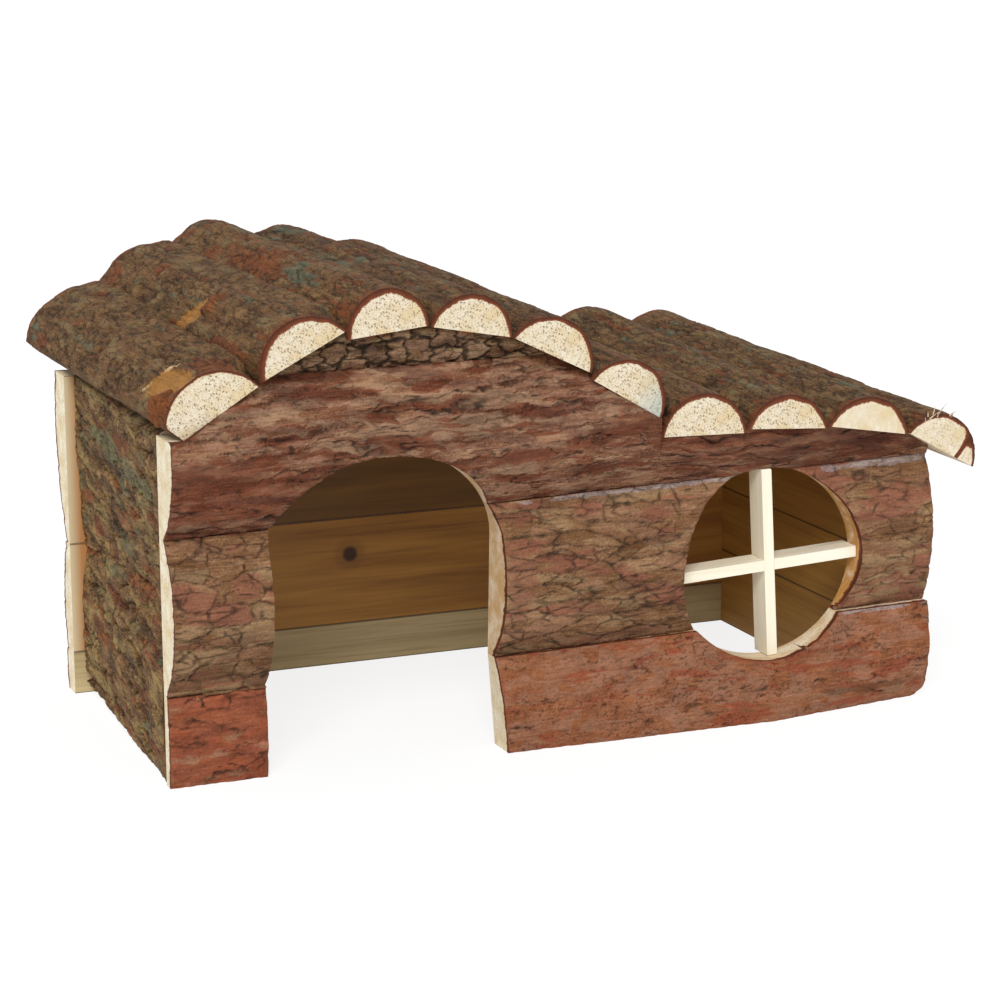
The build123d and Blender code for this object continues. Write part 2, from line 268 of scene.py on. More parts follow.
@dataclass(frozen=True)
class Bark:
    """How the bark of one piece is broken up. Lengths lie along the grain and widths across it."""

    seed: int
    plate_length: float = 11.0
    plate_width: float = 5.0
    plate_cover: float = 0.6
    crack_width: float = 0.5
    crack_depth: float = 0.7
    plate_step: float = 0.35
    furrow_length: float = 34.0
    furrow_width: float = 7.0
    furrow_share: float = 0.10
    furrow_depth: float = 0.5
    flake_length: float = 20.0
    flake_width: float = 4.5
    flake_height: float = 0.3
    flake_count: float = 5.0
    pit_depth: float = 0.35
    pit_cover: float = 0.5
    fibre_depth: float = 0.1
    swell: float = 0.7
    tilt: float = 0.0
    streak: float = 0.3
    warp: float = 1.0
    mottle: float = 1.0
    level: float = 0.5
    grey: float = 0.3
    rust: float = 0.3
    lichen: float = 0.0

    def surface(self, s: np.ndarray, t: np.ndarray, spots: Sequence[Spot] = ()) -> Surface:
        """Works out the bark at each point.

        Args:
            s: Millimetres along the grain.
            t: Millimetres across the grain.
            spots: Marks at places of their own.

        Returns:
            The relief, which is 0 on average and rises little above that, and the colour shares.
        """
        seed = self.seed * 1009
        t = t + s * math.tan(math.radians(self.tilt))
        # Plates with cracks between them, where the bark is broken up.
        wander = layers(s / 42, t / 15, seed)
        along = s + 2.4 * self.warp * layers(s / 8, t / 4, seed + 1, 3)
        across = t + 1.8 * wander + 1.1 * self.warp * layers(s / 7, t / 3.5, seed + 2, 3)
        border, chance = cells(along, across, self.plate_length, self.plate_width, seed + 3)
        broken = smooth(-0.2, 0.2, layers(s / 30, t / 13, seed + 5, 3) + (self.plate_cover - 0.5) * 1.6)
        gap = self.crack_width * (0.35 + 1.2 * np.abs(noise(s / 5, t / 3, seed + 6)))
        thin = np.minimum(gap / 0.4, 1.0)
        split = (1 - smooth(0.4, 1.6, border / np.maximum(gap, 0.4))) * thin * broken
        plate = (chance - 0.5) * broken

        # Long furrows.
        course = noise(s / self.furrow_length + 0.4 * wander, across / self.furrow_width, seed + 9)
        course = course + 0.45 * noise(s / self.furrow_length * 2.3, across / self.furrow_width * 2.1, seed + 10)
        furrow = 1 - smooth(0.0, self.furrow_share, np.abs(course))
        furrow = furrow * smooth(-0.35, 0.15, layers(s / 26, t / 10, seed + 11, 2))

        # Flakes, which lie over each other in steps with a line of painted shade along each lip, and pits.
        build = layers(
            s / self.flake_length + 0.3 * wander, across / self.flake_width, seed + 12, 4
        ) * self.flake_count
        step = np.floor(build)
        rest = build - step
        ledge = smooth(0.78, 1.0, rest)
        lip_shade = np.clip(1 - np.abs(rest - 0.86) / 0.12, 0, 1) * (self.flake_height > 0.05)
        flake = (step + ledge) / self.flake_count
        pits = smooth(0.38, 0.75, noise(along / 6.5, across / 1.6, seed + 18))
        pits = pits * smooth(-0.2, 0.3, layers(s / 22, t / 9, seed + 19, 2) + (self.pit_cover - 0.5) * 1.6)

        # All of it together, with high parts flattened, so that little rises over the average.
        fibre = noise(s / 11, t / 0.9, seed + 13) + 0.6 * noise(s / 5, t / 0.45, seed + 14)
        height = (
            self.swell * 0.5 * layers(s / 60, t / 22, seed + 15, 2)
            + self.flake_height * flake
            + self.plate_step * plate
            + self.fibre_depth * fibre
            - self.crack_depth * split
            - self.furrow_depth * furrow
            - self.pit_depth * pits
        )
        height = height - height.mean()
        height = np.where(height > 0.2, 0.2 + 0.35 * np.tanh((height - 0.2) / 0.35), height)
        # Painted shade: cracks, furrows and pits are darkened, with a line along each flake's lip.
        crack_shade = np.clip(np.maximum.reduce([0.95 * split, 0.8 * furrow, 0.85 * pits]) + 0.3 * lip_shade, 0, 1)
        tone = (
            self.level
            + 0.30 * self.mottle * flake
            + 0.26 * plate
            + 0.20 * self.mottle * layers(s / 16, t / 3.5, seed + 16)
            + 0.08 * fibre
            + 0.08 * noise(s / 2.2, t / 1.2, seed + 17)
        )
        shares = {mark: np.zeros(s.shape) for mark in Mark}
        for mark, cover, bias, turn in (
            (Mark.GREY, self.grey, flake, 7.13), (Mark.RUST, self.rust, -flake, 13.7),
            (Mark.LICHEN, self.lichen, 0.3 * flake, 29.3),
        ):
            if cover > 0:
                base = seed + int(turn * 10)
                streaks = layers(s / 22, across / 2.4, base, 3)
                value = (
                    0.55 * layers(s / 36, t / 12, base + 50, 3)
                    + (1 - self.streak) * 1.1 * (np.mod(chance * turn, 1.0) - 0.5)
                    + self.streak * 1.1 * streaks
                    + 0.35 * bias
                    + (cover - 0.5) * 1.5
                )
                shares[mark] = smooth(-0.1, 0.32, value)
        for index, spot in enumerate(spots):
            share = spot.share(s, t - s * math.tan(math.radians(self.tilt)), seed + 51 + index)
            shares[spot.mark] = np.maximum(shares[spot.mark], share)
            height = height - spot.depth * share
            if spot.mark in (Mark.GOLD, Mark.BARE):
                crack_shade = crack_shade * (1 - 0.85 * share)
        return Surface(height, crack_shade, np.clip(tone, 0, 1), shares)


# ---------------------------------------------------------------- finishes


def linear(hex_colour: str) -> tuple[float, float, float, float]:
    """Linear colour of an sRGB hex value.

    Args:
        hex_colour: Six digits such as "8a5a3c".

    Returns:
        Linear red, green and blue, and full alpha.
    """
    values = []
    for start in (0, 2, 4):
        share = int(hex_colour[start : start + 2], 16) / 255
        values.append(share / 12.92 if share <= 0.04045 else ((share + 0.055) / 1.055) ** 2.4)
    return (*values, 1.0)


def add(
    tree: bpy.types.NodeTree, kind: str, links: dict[str | int, object] | Sequence[object] = (),
    stops: Sequence[tuple[float, str]] = (), **settings: object,
) -> bpy.types.Node:
    """Adds one node with its settings, values and links.

    Args:
        tree: Node tree that gets the node.
        kind: Blender's name of the node type, without its "ShaderNode".
        links: For each input by name or number, or for the first inputs in order: its plain value, its sRGB hex
            colour, the socket that feeds it, or the node whose first enabled output does.
        stops: For a colour ramp, its places and sRGB hex colours.
        settings: Properties of the node.

    Returns:
        The new node.
    """
    node = tree.nodes.new("ShaderNode" + kind)
    for name, value in settings.items():
        setattr(node, name, value)
    for name, value in links.items() if isinstance(links, dict) else enumerate(links):
        if isinstance(value, bpy.types.Node):
            value = next(output for output in value.outputs if output.enabled)
        if isinstance(value, bpy.types.NodeSocket):
            tree.links.new(value, node.inputs[name])
        else:
            node.inputs[name].default_value = linear(value) if isinstance(value, str) else value
    for index, (place, colour) in enumerate(stops):
        ramp = node.color_ramp.elements
        stop = ramp[index] if index < 2 else ramp.new(place)
        stop.position = place
        stop.color = linear(colour)
    return node


def new_material(name: str) -> tuple[bpy.types.Material, bpy.types.NodeTree]:
    """Makes an empty node material.

    Args:
        name: The wood or metal and how its surface was made.

    Returns:
        The material and its node tree.
    """
    material = bpy.data.materials.new(name)
    material.use_nodes = True
    material.node_tree.nodes.clear()
    return material, material.node_tree


def close_tree(
    material: bpy.types.Material, colour: bpy.types.Node, relief: bpy.types.Node, bump: tuple[float, float],
    roughness: float, specular: float = 0.5,
) -> bpy.types.Material:
    """Ends a wood's node tree with its fine relief and its shader.

    Args:
        material: Material that owns the tree.
        colour: Node that gives the colour.
        relief: Node that gives the relief.
        bump: Strength of the relief, and its depth in millimetres.
        roughness: How dull the wood is.
        specular: Level of its reflections.

    Returns:
        The material.
    """
    tree = material.node_tree
    normal = add(tree, "Bump", {"Height": relief, "Strength": bump[0], "Distance": bump[1] * MM})
    looks = {"Base Color": colour, "Roughness": roughness, "Specular IOR Level": specular, "Normal": normal}
    shader = add(tree, "BsdfPrincipled", {**looks, "IOR": WOOD_IOR})
    add(tree, "OutputMaterial", (shader,))
    return material


@dataclass(frozen=True)
class FlakedBark:
    """Pine bark, air-dried and left on the slab: dull, fibrous, with painted shade in its cracks, rust red where
    torn.
    """

    name: str
    dark: str = "5b3c22"
    mid: str = "7c5a3e"
    light: str = "a8886a"
    grey: str = "8f7459"
    rust: str = "85472b"
    lichen: str = "67644d"
    gold: str = "c8934e"
    bare: str = "99908f"
    blush: str = "95705c"
    # Colour of the painted shade in the cracks.
    crack_shade: str = "1d120a"
    scale_length: float = 6.5
    scale_width: float = 3.2
    scale_cracks: float = 0.8
    scale_tone: float = 0.28
    scale_bend: float = 1.0
    patch: float = 0.75
    streak_width: float = 0.5
    streak_length: float = 6.0
    contrast: float = 1.0
    grit: float = 0.8

    def build(self) -> bpy.types.Material:
        """Makes the material from the values that the mesh carries and two sizes of fine noise.

        Returns:
            The material.
        """
        material, tree = new_material(self.name)
        grain = add(tree, "Attribute", attribute_name="grain").outputs["Vector"]
        tint, shade_and_wear = (add(tree, "Attribute", attribute_name=name) for name in ("tint", "shade_and_wear"))
        shares, worn = (add(tree, "SeparateColor", (carried.outputs["Color"],)).outputs for carried in (tint, shade_and_wear))
        # Fibres run along the grain, so the noise is squeezed across it.
        per_fibre = (1 / self.streak_length, 1 / self.streak_width, 1.0)
        stretched = add(tree, "Mapping", {"Vector": grain, "Scale": per_fibre})
        fibres = add(tree, "TexNoise", {"Vector": stretched, "Scale": 1.0, "Detail": 5.0, "Roughness": 0.62})
        grit = add(tree, "TexNoise", {"Vector": grain, "Scale": 1 / self.grit, "Detail": 4.0, "Roughness": 0.7})
        fine = add(tree, "Math", (fibres, grit), operation="ADD")
        centred = add(tree, "Math", (fine, -1.0), operation="ADD")
        # Small scales with hair cracks between them, too fine for the mesh and darkened with painted shade. Their
        # outline is bent by noise.
        bend = add(tree, "TexNoise", {"Vector": grain, "Scale": 1 / 4.5, "Detail": 4.0, "Roughness": 0.65})
        shift = (6.5 * self.scale_bend, 3.4 * self.scale_bend, 0.0)
        moved = add(tree, "VectorMath", (bend.outputs["Color"], shift, grain), operation="MULTIPLY_ADD")
        per_scale = (1 / self.scale_length, 1 / self.scale_width, 1.0)
        laid = add(tree, "Mapping", {"Vector": moved, "Scale": per_scale})
        borders, scales = (
            add(tree, "TexVoronoi", {"Vector": laid, "Scale": 1.0}, voronoi_dimensions="2D", feature=feature)
            for feature in ("DISTANCE_TO_EDGE", "F1")
        )
        chance = add(tree, "SeparateColor", (scales.outputs["Color"],)).outputs
        where = add(tree, "TexNoise", {"Vector": grain, "Scale": 1 / 8.0, "Detail": 3.0, "Roughness": 0.6})
        open_here = add(tree, "MapRange", (where, 0.44, 0.6, 0.0, self.scale_cracks))
        hair = add(tree, "MapRange", (borders, 0.015, 0.085, open_here, 0.0))
        scaled = add(tree, "Math", (chance[0], self.scale_tone, worn[1]), operation="MULTIPLY_ADD")
        level = add(tree, "Math", (scaled, -self.scale_tone / 2), operation="ADD")
        tone = add(tree, "Math", (centred, self.contrast, level), operation="MULTIPLY_ADD")
        stops = ((0.1, self.dark), (0.95, self.light), (0.5, self.mid))
        colour = add(tree, "ValToRGB", (tone,), stops=stops)
        shade = add(tree, "MapRange", (tone, 0.1, 0.9, 0.6, 1.32))
        for share, over, most in (
            (chance[1], self.blush, 0.45), (shares[0], self.grey, self.patch), (shares[2], self.lichen, self.patch),
            (shares[1], self.rust, self.patch), (worn[2], self.bare, 0.95), (tint.outputs["Alpha"], self.gold, 1.0),
        ):
            # The fine noise breaks up the edge of each patch.
            broken = add(tree, "Math", (centred, 0.9, share), operation="MULTIPLY_ADD")
            amount = add(tree, "MapRange", (broken, 0.2, 0.8, 0.0, most))
            shaded = add(tree, "VectorMath", {0: linear(over)[:3], "Scale": shade}, operation="SCALE")
            colour = add(tree, "Mix", {0: amount, 6: colour, 7: shaded}, data_type="RGBA")
        # Painted shade: the mesh's cracks and the hair cracks, with the dark marks, are darkened toward the crack
        # colour.
        plain = add(tree, "Math", (1.0, tint.outputs["Alpha"]), operation="SUBTRACT")
        hair = add(tree, "Math", (hair, plain), operation="MULTIPLY")
        deep = add(tree, "Math", (worn[0], hair), operation="MAXIMUM")
        deep = add(tree, "Math", (deep, 0.86), operation="MULTIPLY")
        shade_in_cracks = add(tree, "Mix", {0: deep, 6: colour, 7: self.crack_shade}, data_type="RGBA")
        form = add(tree, "Math", (hair, -0.8, fine), operation="MULTIPLY_ADD")
        return close_tree(material, shade_in_cracks, form, bump=(0.85, 0.4), roughness=0.82, specular=0.25)


@dataclass(frozen=True)
class SawnPine:
    """Pine cut by a coarse saw: pale and matt, its open pores dark where the cut crosses the grain.

    A rim of red-brown bark shows along the cut's outer edge.
    """

    name: str
    pale: str = "e0d5be"
    warm: str = "cdb690"
    pore: str = "7a6243"
    rim: str = "47200d"
    rim_inner: str = "76391a"
    stain: str = "a3b2ae"
    rim_depth: float = 1.5
    ring_spacing: float = 2.6
    ring_strength: float = 0.18
    pore_spacing: float = 0.58
    pore_radius: float = 0.46
    cloud: str = "d6c29b"
    aged: str = "c08a48"

    def build(self) -> bpy.types.Material:
        """Makes the material from the mesh's grain vector, which runs along X, and its depth under the bark.

        Returns:
            The material.
        """
        material, tree = new_material(self.name)
        grain = add(tree, "Attribute", attribute_name="grain").outputs["Vector"]
        under = add(tree, "Attribute", attribute_name="under").outputs["Fac"]
        tint = add(tree, "Attribute", attribute_name="tint").outputs["Color"]
        stained, clean, aged = add(tree, "SeparateColor", (tint,)).outputs
        squeezed, flat = (
            add(tree, "Mapping", {"Vector": grain, "Scale": (along, 1.0, 1.0)}) for along in (0.08, 0.0)
        )
        cloud = add(tree, "TexNoise", {"Vector": squeezed, "Scale": 1 / 7.0, "Detail": 3.0, "Roughness": 0.6})
        radius = add(tree, "VectorMath", (flat,), operation="LENGTH")
        bent = add(tree, "Math", (cloud, 3.0, radius), operation="MULTIPLY_ADD")
        turns = add(tree, "Math", (bent, 2 * math.pi / self.ring_spacing), operation="MULTIPLY")
        wave = add(tree, "Math", (turns,), operation="SINE")
        ring = add(tree, "MapRange", (wave, 0.1, 1.0, 0.0, self.ring_strength))
        kerf = add(tree, "TexNoise", {"Vector": squeezed, "Scale": 1 / 0.5, "Detail": 3.0, "Roughness": 0.7})
        # Each pore is a dot of its own size and darkness.
        pores = add(tree, "TexVoronoi", {"Vector": squeezed, "Scale": 1 / self.pore_spacing})
        chance = add(tree, "SeparateColor", (pores.outputs["Color"],)).outputs
        size = add(tree, "Math", (chance[0], self.pore_radius), operation="MULTIPLY")
        edge = add(tree, "Math", (kerf, 0.5, size), operation="MULTIPLY_ADD")
        inside = add(tree, "Math", (edge, pores), operation="SUBTRACT")
        most = add(tree, "MapRange", (clean, 0.0, 1.0, 0.95, 0.15))
        darkness = add(tree, "Math", (chance[1], most), operation="MULTIPLY")
        pit = add(tree, "MapRange", (inside, -0.06, 0.14, 0.0, darkness))
        drift = add(tree, "MapRange", (cloud, 0.36, 0.64, 0.0, 1.0))
        patchy = add(tree, "MapRange", (cloud, 0.3, 0.6, 0.35, 1.0))
        old = add(tree, "Math", (patchy, aged), operation="MULTIPLY")
        # The bark's thickness changes along the cut, slowly and with a ragged inner line.
        slow = add(tree, "TexNoise", {"Vector": grain, "Scale": 1 / 7.0, "Detail": 2.0})
        ragged = add(tree, "TexNoise", {"Vector": grain, "Scale": 1 / 0.9, "Detail": 4.0, "Roughness": 0.65})
        lowered = add(tree, "Math", (slow, -1.6, under), operation="MULTIPLY_ADD")
        depth = add(tree, "Math", (ragged, -1.0, lowered), operation="MULTIPLY_ADD")
        rim = add(tree, "MapRange", (depth, self.rim_depth - 1.15, self.rim_depth - 1.45, 0.0, 1.0))
        burn = add(tree, "MapRange", (depth, self.rim_depth - 2.6, self.rim_depth - 1.4, 0.0, 1.0))
        bark = add(tree, "Mix", {0: burn, 6: self.rim, 7: self.rim_inner}, data_type="RGBA")
        colour = self.pale
        for share, over in (
            (drift, self.cloud), (old, self.aged), (ring, self.warm), (stained, self.stain), (pit, self.pore),
            (rim, bark),
        ):
            colour = add(tree, "Mix", {0: share, 6: colour, 7: over}, data_type="RGBA")
        return close_tree(material, colour, kerf, bump=(0.5, 0.25), roughness=0.75, specular=0.3)


@dataclass(frozen=True)
class PlanedPine:
    """Pine with a planed face: smooth, a little silky, with long golden streaks and at times a knot."""

    name: str
    pale: str = "b8935e"
    dark: str = "8a6236"
    streak: str = "6b4522"
    streak_strength: float = 0.5
    knot: tuple[float, float] | None = None
    knot_radius: float = 3.0
    joint_dirt_and_shade: float = 0.8
    painted_light_end: str | None = None

    def build(self) -> bpy.types.Material:
        """Makes the material from the mesh's grain vector, which runs along X, and its joints, where painted shade
        with dirt darkens the face.

        Returns:
            The material.
        """
        material, tree = new_material(self.name)
        grain = add(tree, "Attribute", attribute_name="grain").outputs["Vector"]
        broad = add(tree, "Mapping", {"Vector": grain, "Scale": (1 / 140, 1 / 9, 1 / 9)})
        thin = add(tree, "Mapping", {"Vector": grain, "Scale": (1 / 60, 1 / 1.6, 1 / 1.6)})
        rough = {"Scale": 1.0, "Roughness": 0.6}
        bands = add(tree, "TexNoise", {"Vector": broad, "Detail": 4.0, "Distortion": 0.4, **rough})
        lines = add(tree, "TexNoise", {"Vector": thin, "Detail": 3.0, **rough})
        band = add(tree, "MapRange", (bands, 0.35, 0.68, 0.0, 1.0))
        line = add(tree, "MapRange", (lines, 0.5, 0.75, 0.0, self.streak_strength))
        coats = [(band, self.dark), (line, self.streak)]
        if self.knot:
            reach = add(tree, "VectorMath", (grain, (*self.knot, 0.0)), operation="DISTANCE")
            for size, most, shade in ((2.6, 0.35, "7a4a20"), (1.25, 0.9, "2e170a")):
                outer = self.knot_radius * size
                fade = (reach, outer, outer * 0.55, 0.0, most)
                coats.append((add(tree, "MapRange", fade, interpolation_type="SMOOTHSTEP"), shade))
        if self.painted_light_end:
            # The first 9 mm along the grain, where the plank ends outside the room, are painted lighter: painted
            # light, pale at the very end and orange further in.
            along = add(tree, "SeparateXYZ", (grain,))
            free = add(tree, "MapRange", (along, 7.0, 9.0, 1.0, 0.0))
            aged = add(tree, "MapRange", (along, 0.5, 4.5, 0.0, 1.0))
            coats.append((free, add(tree, "Mix", {0: aged, 6: "d0be98", 7: self.painted_light_end}, data_type="RGBA")))
        # Painted shade, with dirt, darkens the face along its joints with the next board.
        if self.joint_dirt_and_shade:
            under = add(tree, "Attribute", attribute_name="under").outputs["Fac"]
            coats.append((add(tree, "MapRange", (under, 0.1, 0.55, self.joint_dirt_and_shade, 0.0)), "2a180a"))
        colour = self.pale
        for share, over in coats:
            colour = add(tree, "Mix", {0: share, 6: colour, 7: over}, data_type="RGBA")
        return close_tree(material, colour, lines, bump=(0.25, 0.15), roughness=0.55)


@dataclass(frozen=True)
class DrawnWire:
    """Bright drawn steel wire: a clean metal with fine lines from the die."""

    name: str = "bright_drawn_steel"
    colour: str = "b9bcc0"

    def build(self) -> bpy.types.Material:
        """Makes the material, with its die lines as a fine change in roughness.

        Returns:
            The material.
        """
        material, tree = new_material(self.name)
        place = add(tree, "TexCoord").outputs["Object"]
        # Die lines are far finer than this; they are drawn 0.2 mm apart so that they show.
        lines = add(tree, "TexNoise", {"Vector": place, "Scale": 1 / (0.2 * MM), "Detail": 2.0})
        rough = add(tree, "MapRange", (lines, 0.0, 1.0, 0.22, 0.38))
        shader = add(tree, "BsdfPrincipled", {"Base Color": self.colour, "Metallic": 1.0, "Roughness": rough})
        add(tree, "OutputMaterial", (shader,))
        return material


# ---------------------------------------------------------------- meshes


class Solid:
    """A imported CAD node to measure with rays, in the house's millimetres."""

    def __init__(self, node: str) -> None:
        """Reads the node's mesh.

        Args:
            node: Name of the CAD node.
        """
        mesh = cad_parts[node].data
        flat = np.zeros(len(mesh.vertices) * 3)
        mesh.vertices.foreach_get("co", flat)
        self.points = flat.reshape(-1, 3) / MM - ORIGIN
        self.faces = [tuple(face.vertices) for face in mesh.polygons]
        self.normals = [face.normal.copy() for face in mesh.polygons]
        self.tree = BVHTree.FromPolygons([Vector(point) for point in self.points], self.faces)
        self.low = self.points.min(0)
        self.high = self.points.max(0)

    def reach(self, origin: Sequence[float], direction: Sequence[float]) -> float:
        """How far the ray goes before it meets the node, or NaN if it doesn't."""
        hit = self.tree.ray_cast(Vector(origin), Vector(direction))
        return hit[3] if hit[3] is not None else math.nan

    def top(self, x: float, y: float) -> float:
        """Height of the node's top over a point of the floor."""
        above = self.high[2] + RAY_START
        return above - self.reach((x, y, above), (0, 0, -1))


class Finish(Enum):
    """Zones of a piece, in the order of its material slots."""

    BARK = 0
    SAWN = 1
    PLANED = 2


@dataclass
class Shell:
    """Patches of one piece, each a grid of points with its finish and surface values."""

    name: str
    points: list[np.ndarray] = field(default_factory=list)
    faces: list[np.ndarray] = field(default_factory=list)
    zones: list[np.ndarray] = field(default_factory=list)
    values: dict[str, list[np.ndarray]] = field(default_factory=dict)
    count: int = 0

    def patch(
        self, grid: np.ndarray, finish: Finish, grain: np.ndarray, flip: bool = False,
        under: np.ndarray | None = None, surface: Surface | None = None,
    ) -> None:
        """Adds a grid of quads.

        Args:
            grid: Points of shape (rows, columns, 3), in house millimetres.
            finish: Zone of the whole patch.
            grain: Vector of the same shape, along the grain first.
            flip: Turns the patch over.
            under: Depth under the bark at each point.
            surface: Bark values at each point.
        """
        rows, columns = grid.shape[:2]
        index = np.arange(rows * columns).reshape(rows, columns) + self.count
        quads = np.stack([index[:-1, :-1], index[:-1, 1:], index[1:, 1:], index[1:, :-1]], -1).reshape(-1, 4)
        self.faces.append(quads[:, ::-1] if flip else quads)
        self.zones.append(np.full(len(quads), finish.value))
        self.points.append(grid.reshape(-1, 3))
        self.count += rows * columns
        blank = np.zeros(grid.shape[:2])
        tint = shade_and_wear = np.stack([blank] * 4, -1)
        if surface:
            order = (Mark.GREY, Mark.RUST, Mark.LICHEN, Mark.GOLD)
            tint = np.stack([surface.shares[mark] for mark in order], -1)
            # The first value is painted shade in the cracks, with the dark marks added, which are real stains and
            # painted shadow.
            stained = np.clip(surface.crack_shade + 0.6 * surface.shares[Mark.DARK], 0, 1)
            shade_and_wear = np.stack([stained, surface.tone, surface.shares[Mark.BARE], blank + 1], -1)
        for name, value in (
            ("grain", grain.reshape(-1, 3)), ("tint", tint.reshape(-1, 4)), ("shade_and_wear", shade_and_wear.reshape(-1, 4)),
            ("under", (blank if under is None else under).reshape(-1)),
        ):
            self.values.setdefault(name, []).append(value)

    def build(self, materials: Sequence[bpy.types.Material], node: str, slot: str) -> bpy.types.Object:
        """Makes the piece, which replaces its CAD node.

        Args:
            materials: One material for each finish.
            node: CAD node that the piece stands for.
            slot: Name that is handed on to carry.

        Returns:
            The finished object.
        """
        low, high = (np.array(corner) / MM for corner in CAD_LIMITS)
        points = np.clip(np.concatenate(self.points) + ORIGIN, low, high) * MM
        quads = np.concatenate(self.faces)
        mesh = bpy.data.meshes.new(self.name)
        mesh.vertices.add(len(points))
        mesh.vertices.foreach_set("co", points.ravel())
        mesh.loops.add(quads.size)
        mesh.loops.foreach_set("vertex_index", quads.ravel())
        mesh.polygons.add(len(quads))
        mesh.polygons.foreach_set("loop_start", np.arange(len(quads)) * 4)
        mesh.polygons.foreach_set("material_index", np.concatenate(self.zones))
        mesh.update(calc_edges=True)
        for name, kind, key in (
            ("grain", "FLOAT_VECTOR", "vector"), ("tint", "FLOAT_COLOR", "color"), ("shade_and_wear", "FLOAT_COLOR", "color"),
            ("under", "FLOAT", "value"),
        ):
            attribute = mesh.attributes.new(name, kind, "POINT")
            attribute.data.foreach_set(key, np.concatenate(self.values[name]).astype(np.float32).ravel())
        mesh.polygons.foreach_set("use_smooth", np.ones(len(quads), bool))
        for material in materials:
            mesh.materials.append(material)
        return carry(enter(self.name, mesh), node, slot)


def enter(name: str, data: bpy.types.ID) -> bpy.types.Object:
    """Adds an object to the scene.

    Args:
        name: Name of the object.
        data: Mesh, camera or lamp that it shows.

    Returns:
        The new object.
    """
    item = bpy.data.objects.new(name, data)
    bpy.context.scene.collection.objects.link(item)
    return item


def carry(piece: bpy.types.Object, node: str, slot: str) -> bpy.types.Object:
    """Puts a finished piece in the place of its CAD node and reports it.

    Args:
        piece: The visible piece.
        node: CAD node that it replaces.
        slot: Not used.

    Returns:
        The same piece.
    """
    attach(piece, "root")
    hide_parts(node)
    log.info("%s: %d points, %d faces", piece.name, len(piece.data.vertices), len(piece.data.polygons))
    return piece


def cover(height: np.ndarray, points: np.ndarray) -> np.ndarray:
    """Keeps the bark whole over brads.

    Args:
        height: Relief of the bark at each point.
        points: The points without their relief, of the same shape and 3.

    Returns:
        The relief, nowhere lower than 0.3 mm close to a brad.
    """
    least, near, far = 0.3, 1.2, 2.6
    share = np.zeros(height.size)
    for node in BRAD_NODES:
        brads = Solid(node)
        for index, point in enumerate(points.reshape(-1, 3)):
            reach = brads.tree.find_nearest(Vector(point), far)[3]
            if reach is not None:
                share[index] = max(share[index], 1 - smooth(near, far, reach))
    return height + share.reshape(height.shape) * (np.maximum(height, least) - height)


def box_corners(bounds: object) -> tuple[Sequence[float], Sequence[float]]:
    values = np.array([list(corner) for corner in bounds], float)
    return values.min(0), values.max(0)


CAD_LIMITS = box_corners(cad_box)


def line(start: Sequence[float], end: Sequence[float], step: float) -> np.ndarray:
    """Points along a straight run.

    Args:
        start: First point.
        end: Last point.
        step: Greatest spacing.

    Returns:
        The points, both ends among them.
    """
    start, end = np.array(start, float), np.array(end, float)
    count = max(2, int(np.linalg.norm(end - start) / step) + 2)
    return start + (end - start) * np.linspace(0, 1, count)[:, None]


def traced(path: np.ndarray) -> np.ndarray:
    """Distance along a path from its start to each of its points."""
    return np.concatenate([[0], np.cumsum(np.linalg.norm(np.diff(path, axis=0), axis=1))])


def even(points: np.ndarray, count: int) -> np.ndarray:
    """Spaces the points of a path evenly.

    Args:
        points: The path.
        count: How many points it gets.

    Returns:
        The same path with that many points.
    """
    run = traced(points)
    places = np.linspace(0, run[-1], count)
    return np.stack([np.interp(places, run, points[:, axis]) for axis in range(points.shape[1])], -1)


def chain(*runs: np.ndarray) -> np.ndarray:
    """Runs joined end to end, without their shared points."""
    return np.concatenate([runs[0], *(run[1:] for run in runs[1:])])


@dataclass(frozen=True)
class Wall:
    """Frame of one wall: how its boards' run, height and depth lie in the house."""

    run: tuple[float, float, float]
    out: tuple[float, float, float]
    base: tuple[float, float, float]

    @property
    def turned(self) -> bool:
        """Whether run, up and out make a left-handed frame."""
        return float(np.dot(np.cross(self.run, (0, 0, 1)), self.out)) < 0

    def place(self, s: np.ndarray, z: np.ndarray, depth: np.ndarray) -> np.ndarray:
        """House points from the distance along the wall, the height and the depth out from its inner face."""
        s, z, depth = np.broadcast_arrays(s, z, depth)
        return (
            np.array(self.base)
            + s[..., None] * np.array(self.run)
            + z[..., None] * np.array((0.0, 0.0, 1.0))
            + depth[..., None] * np.array(self.out)
        )


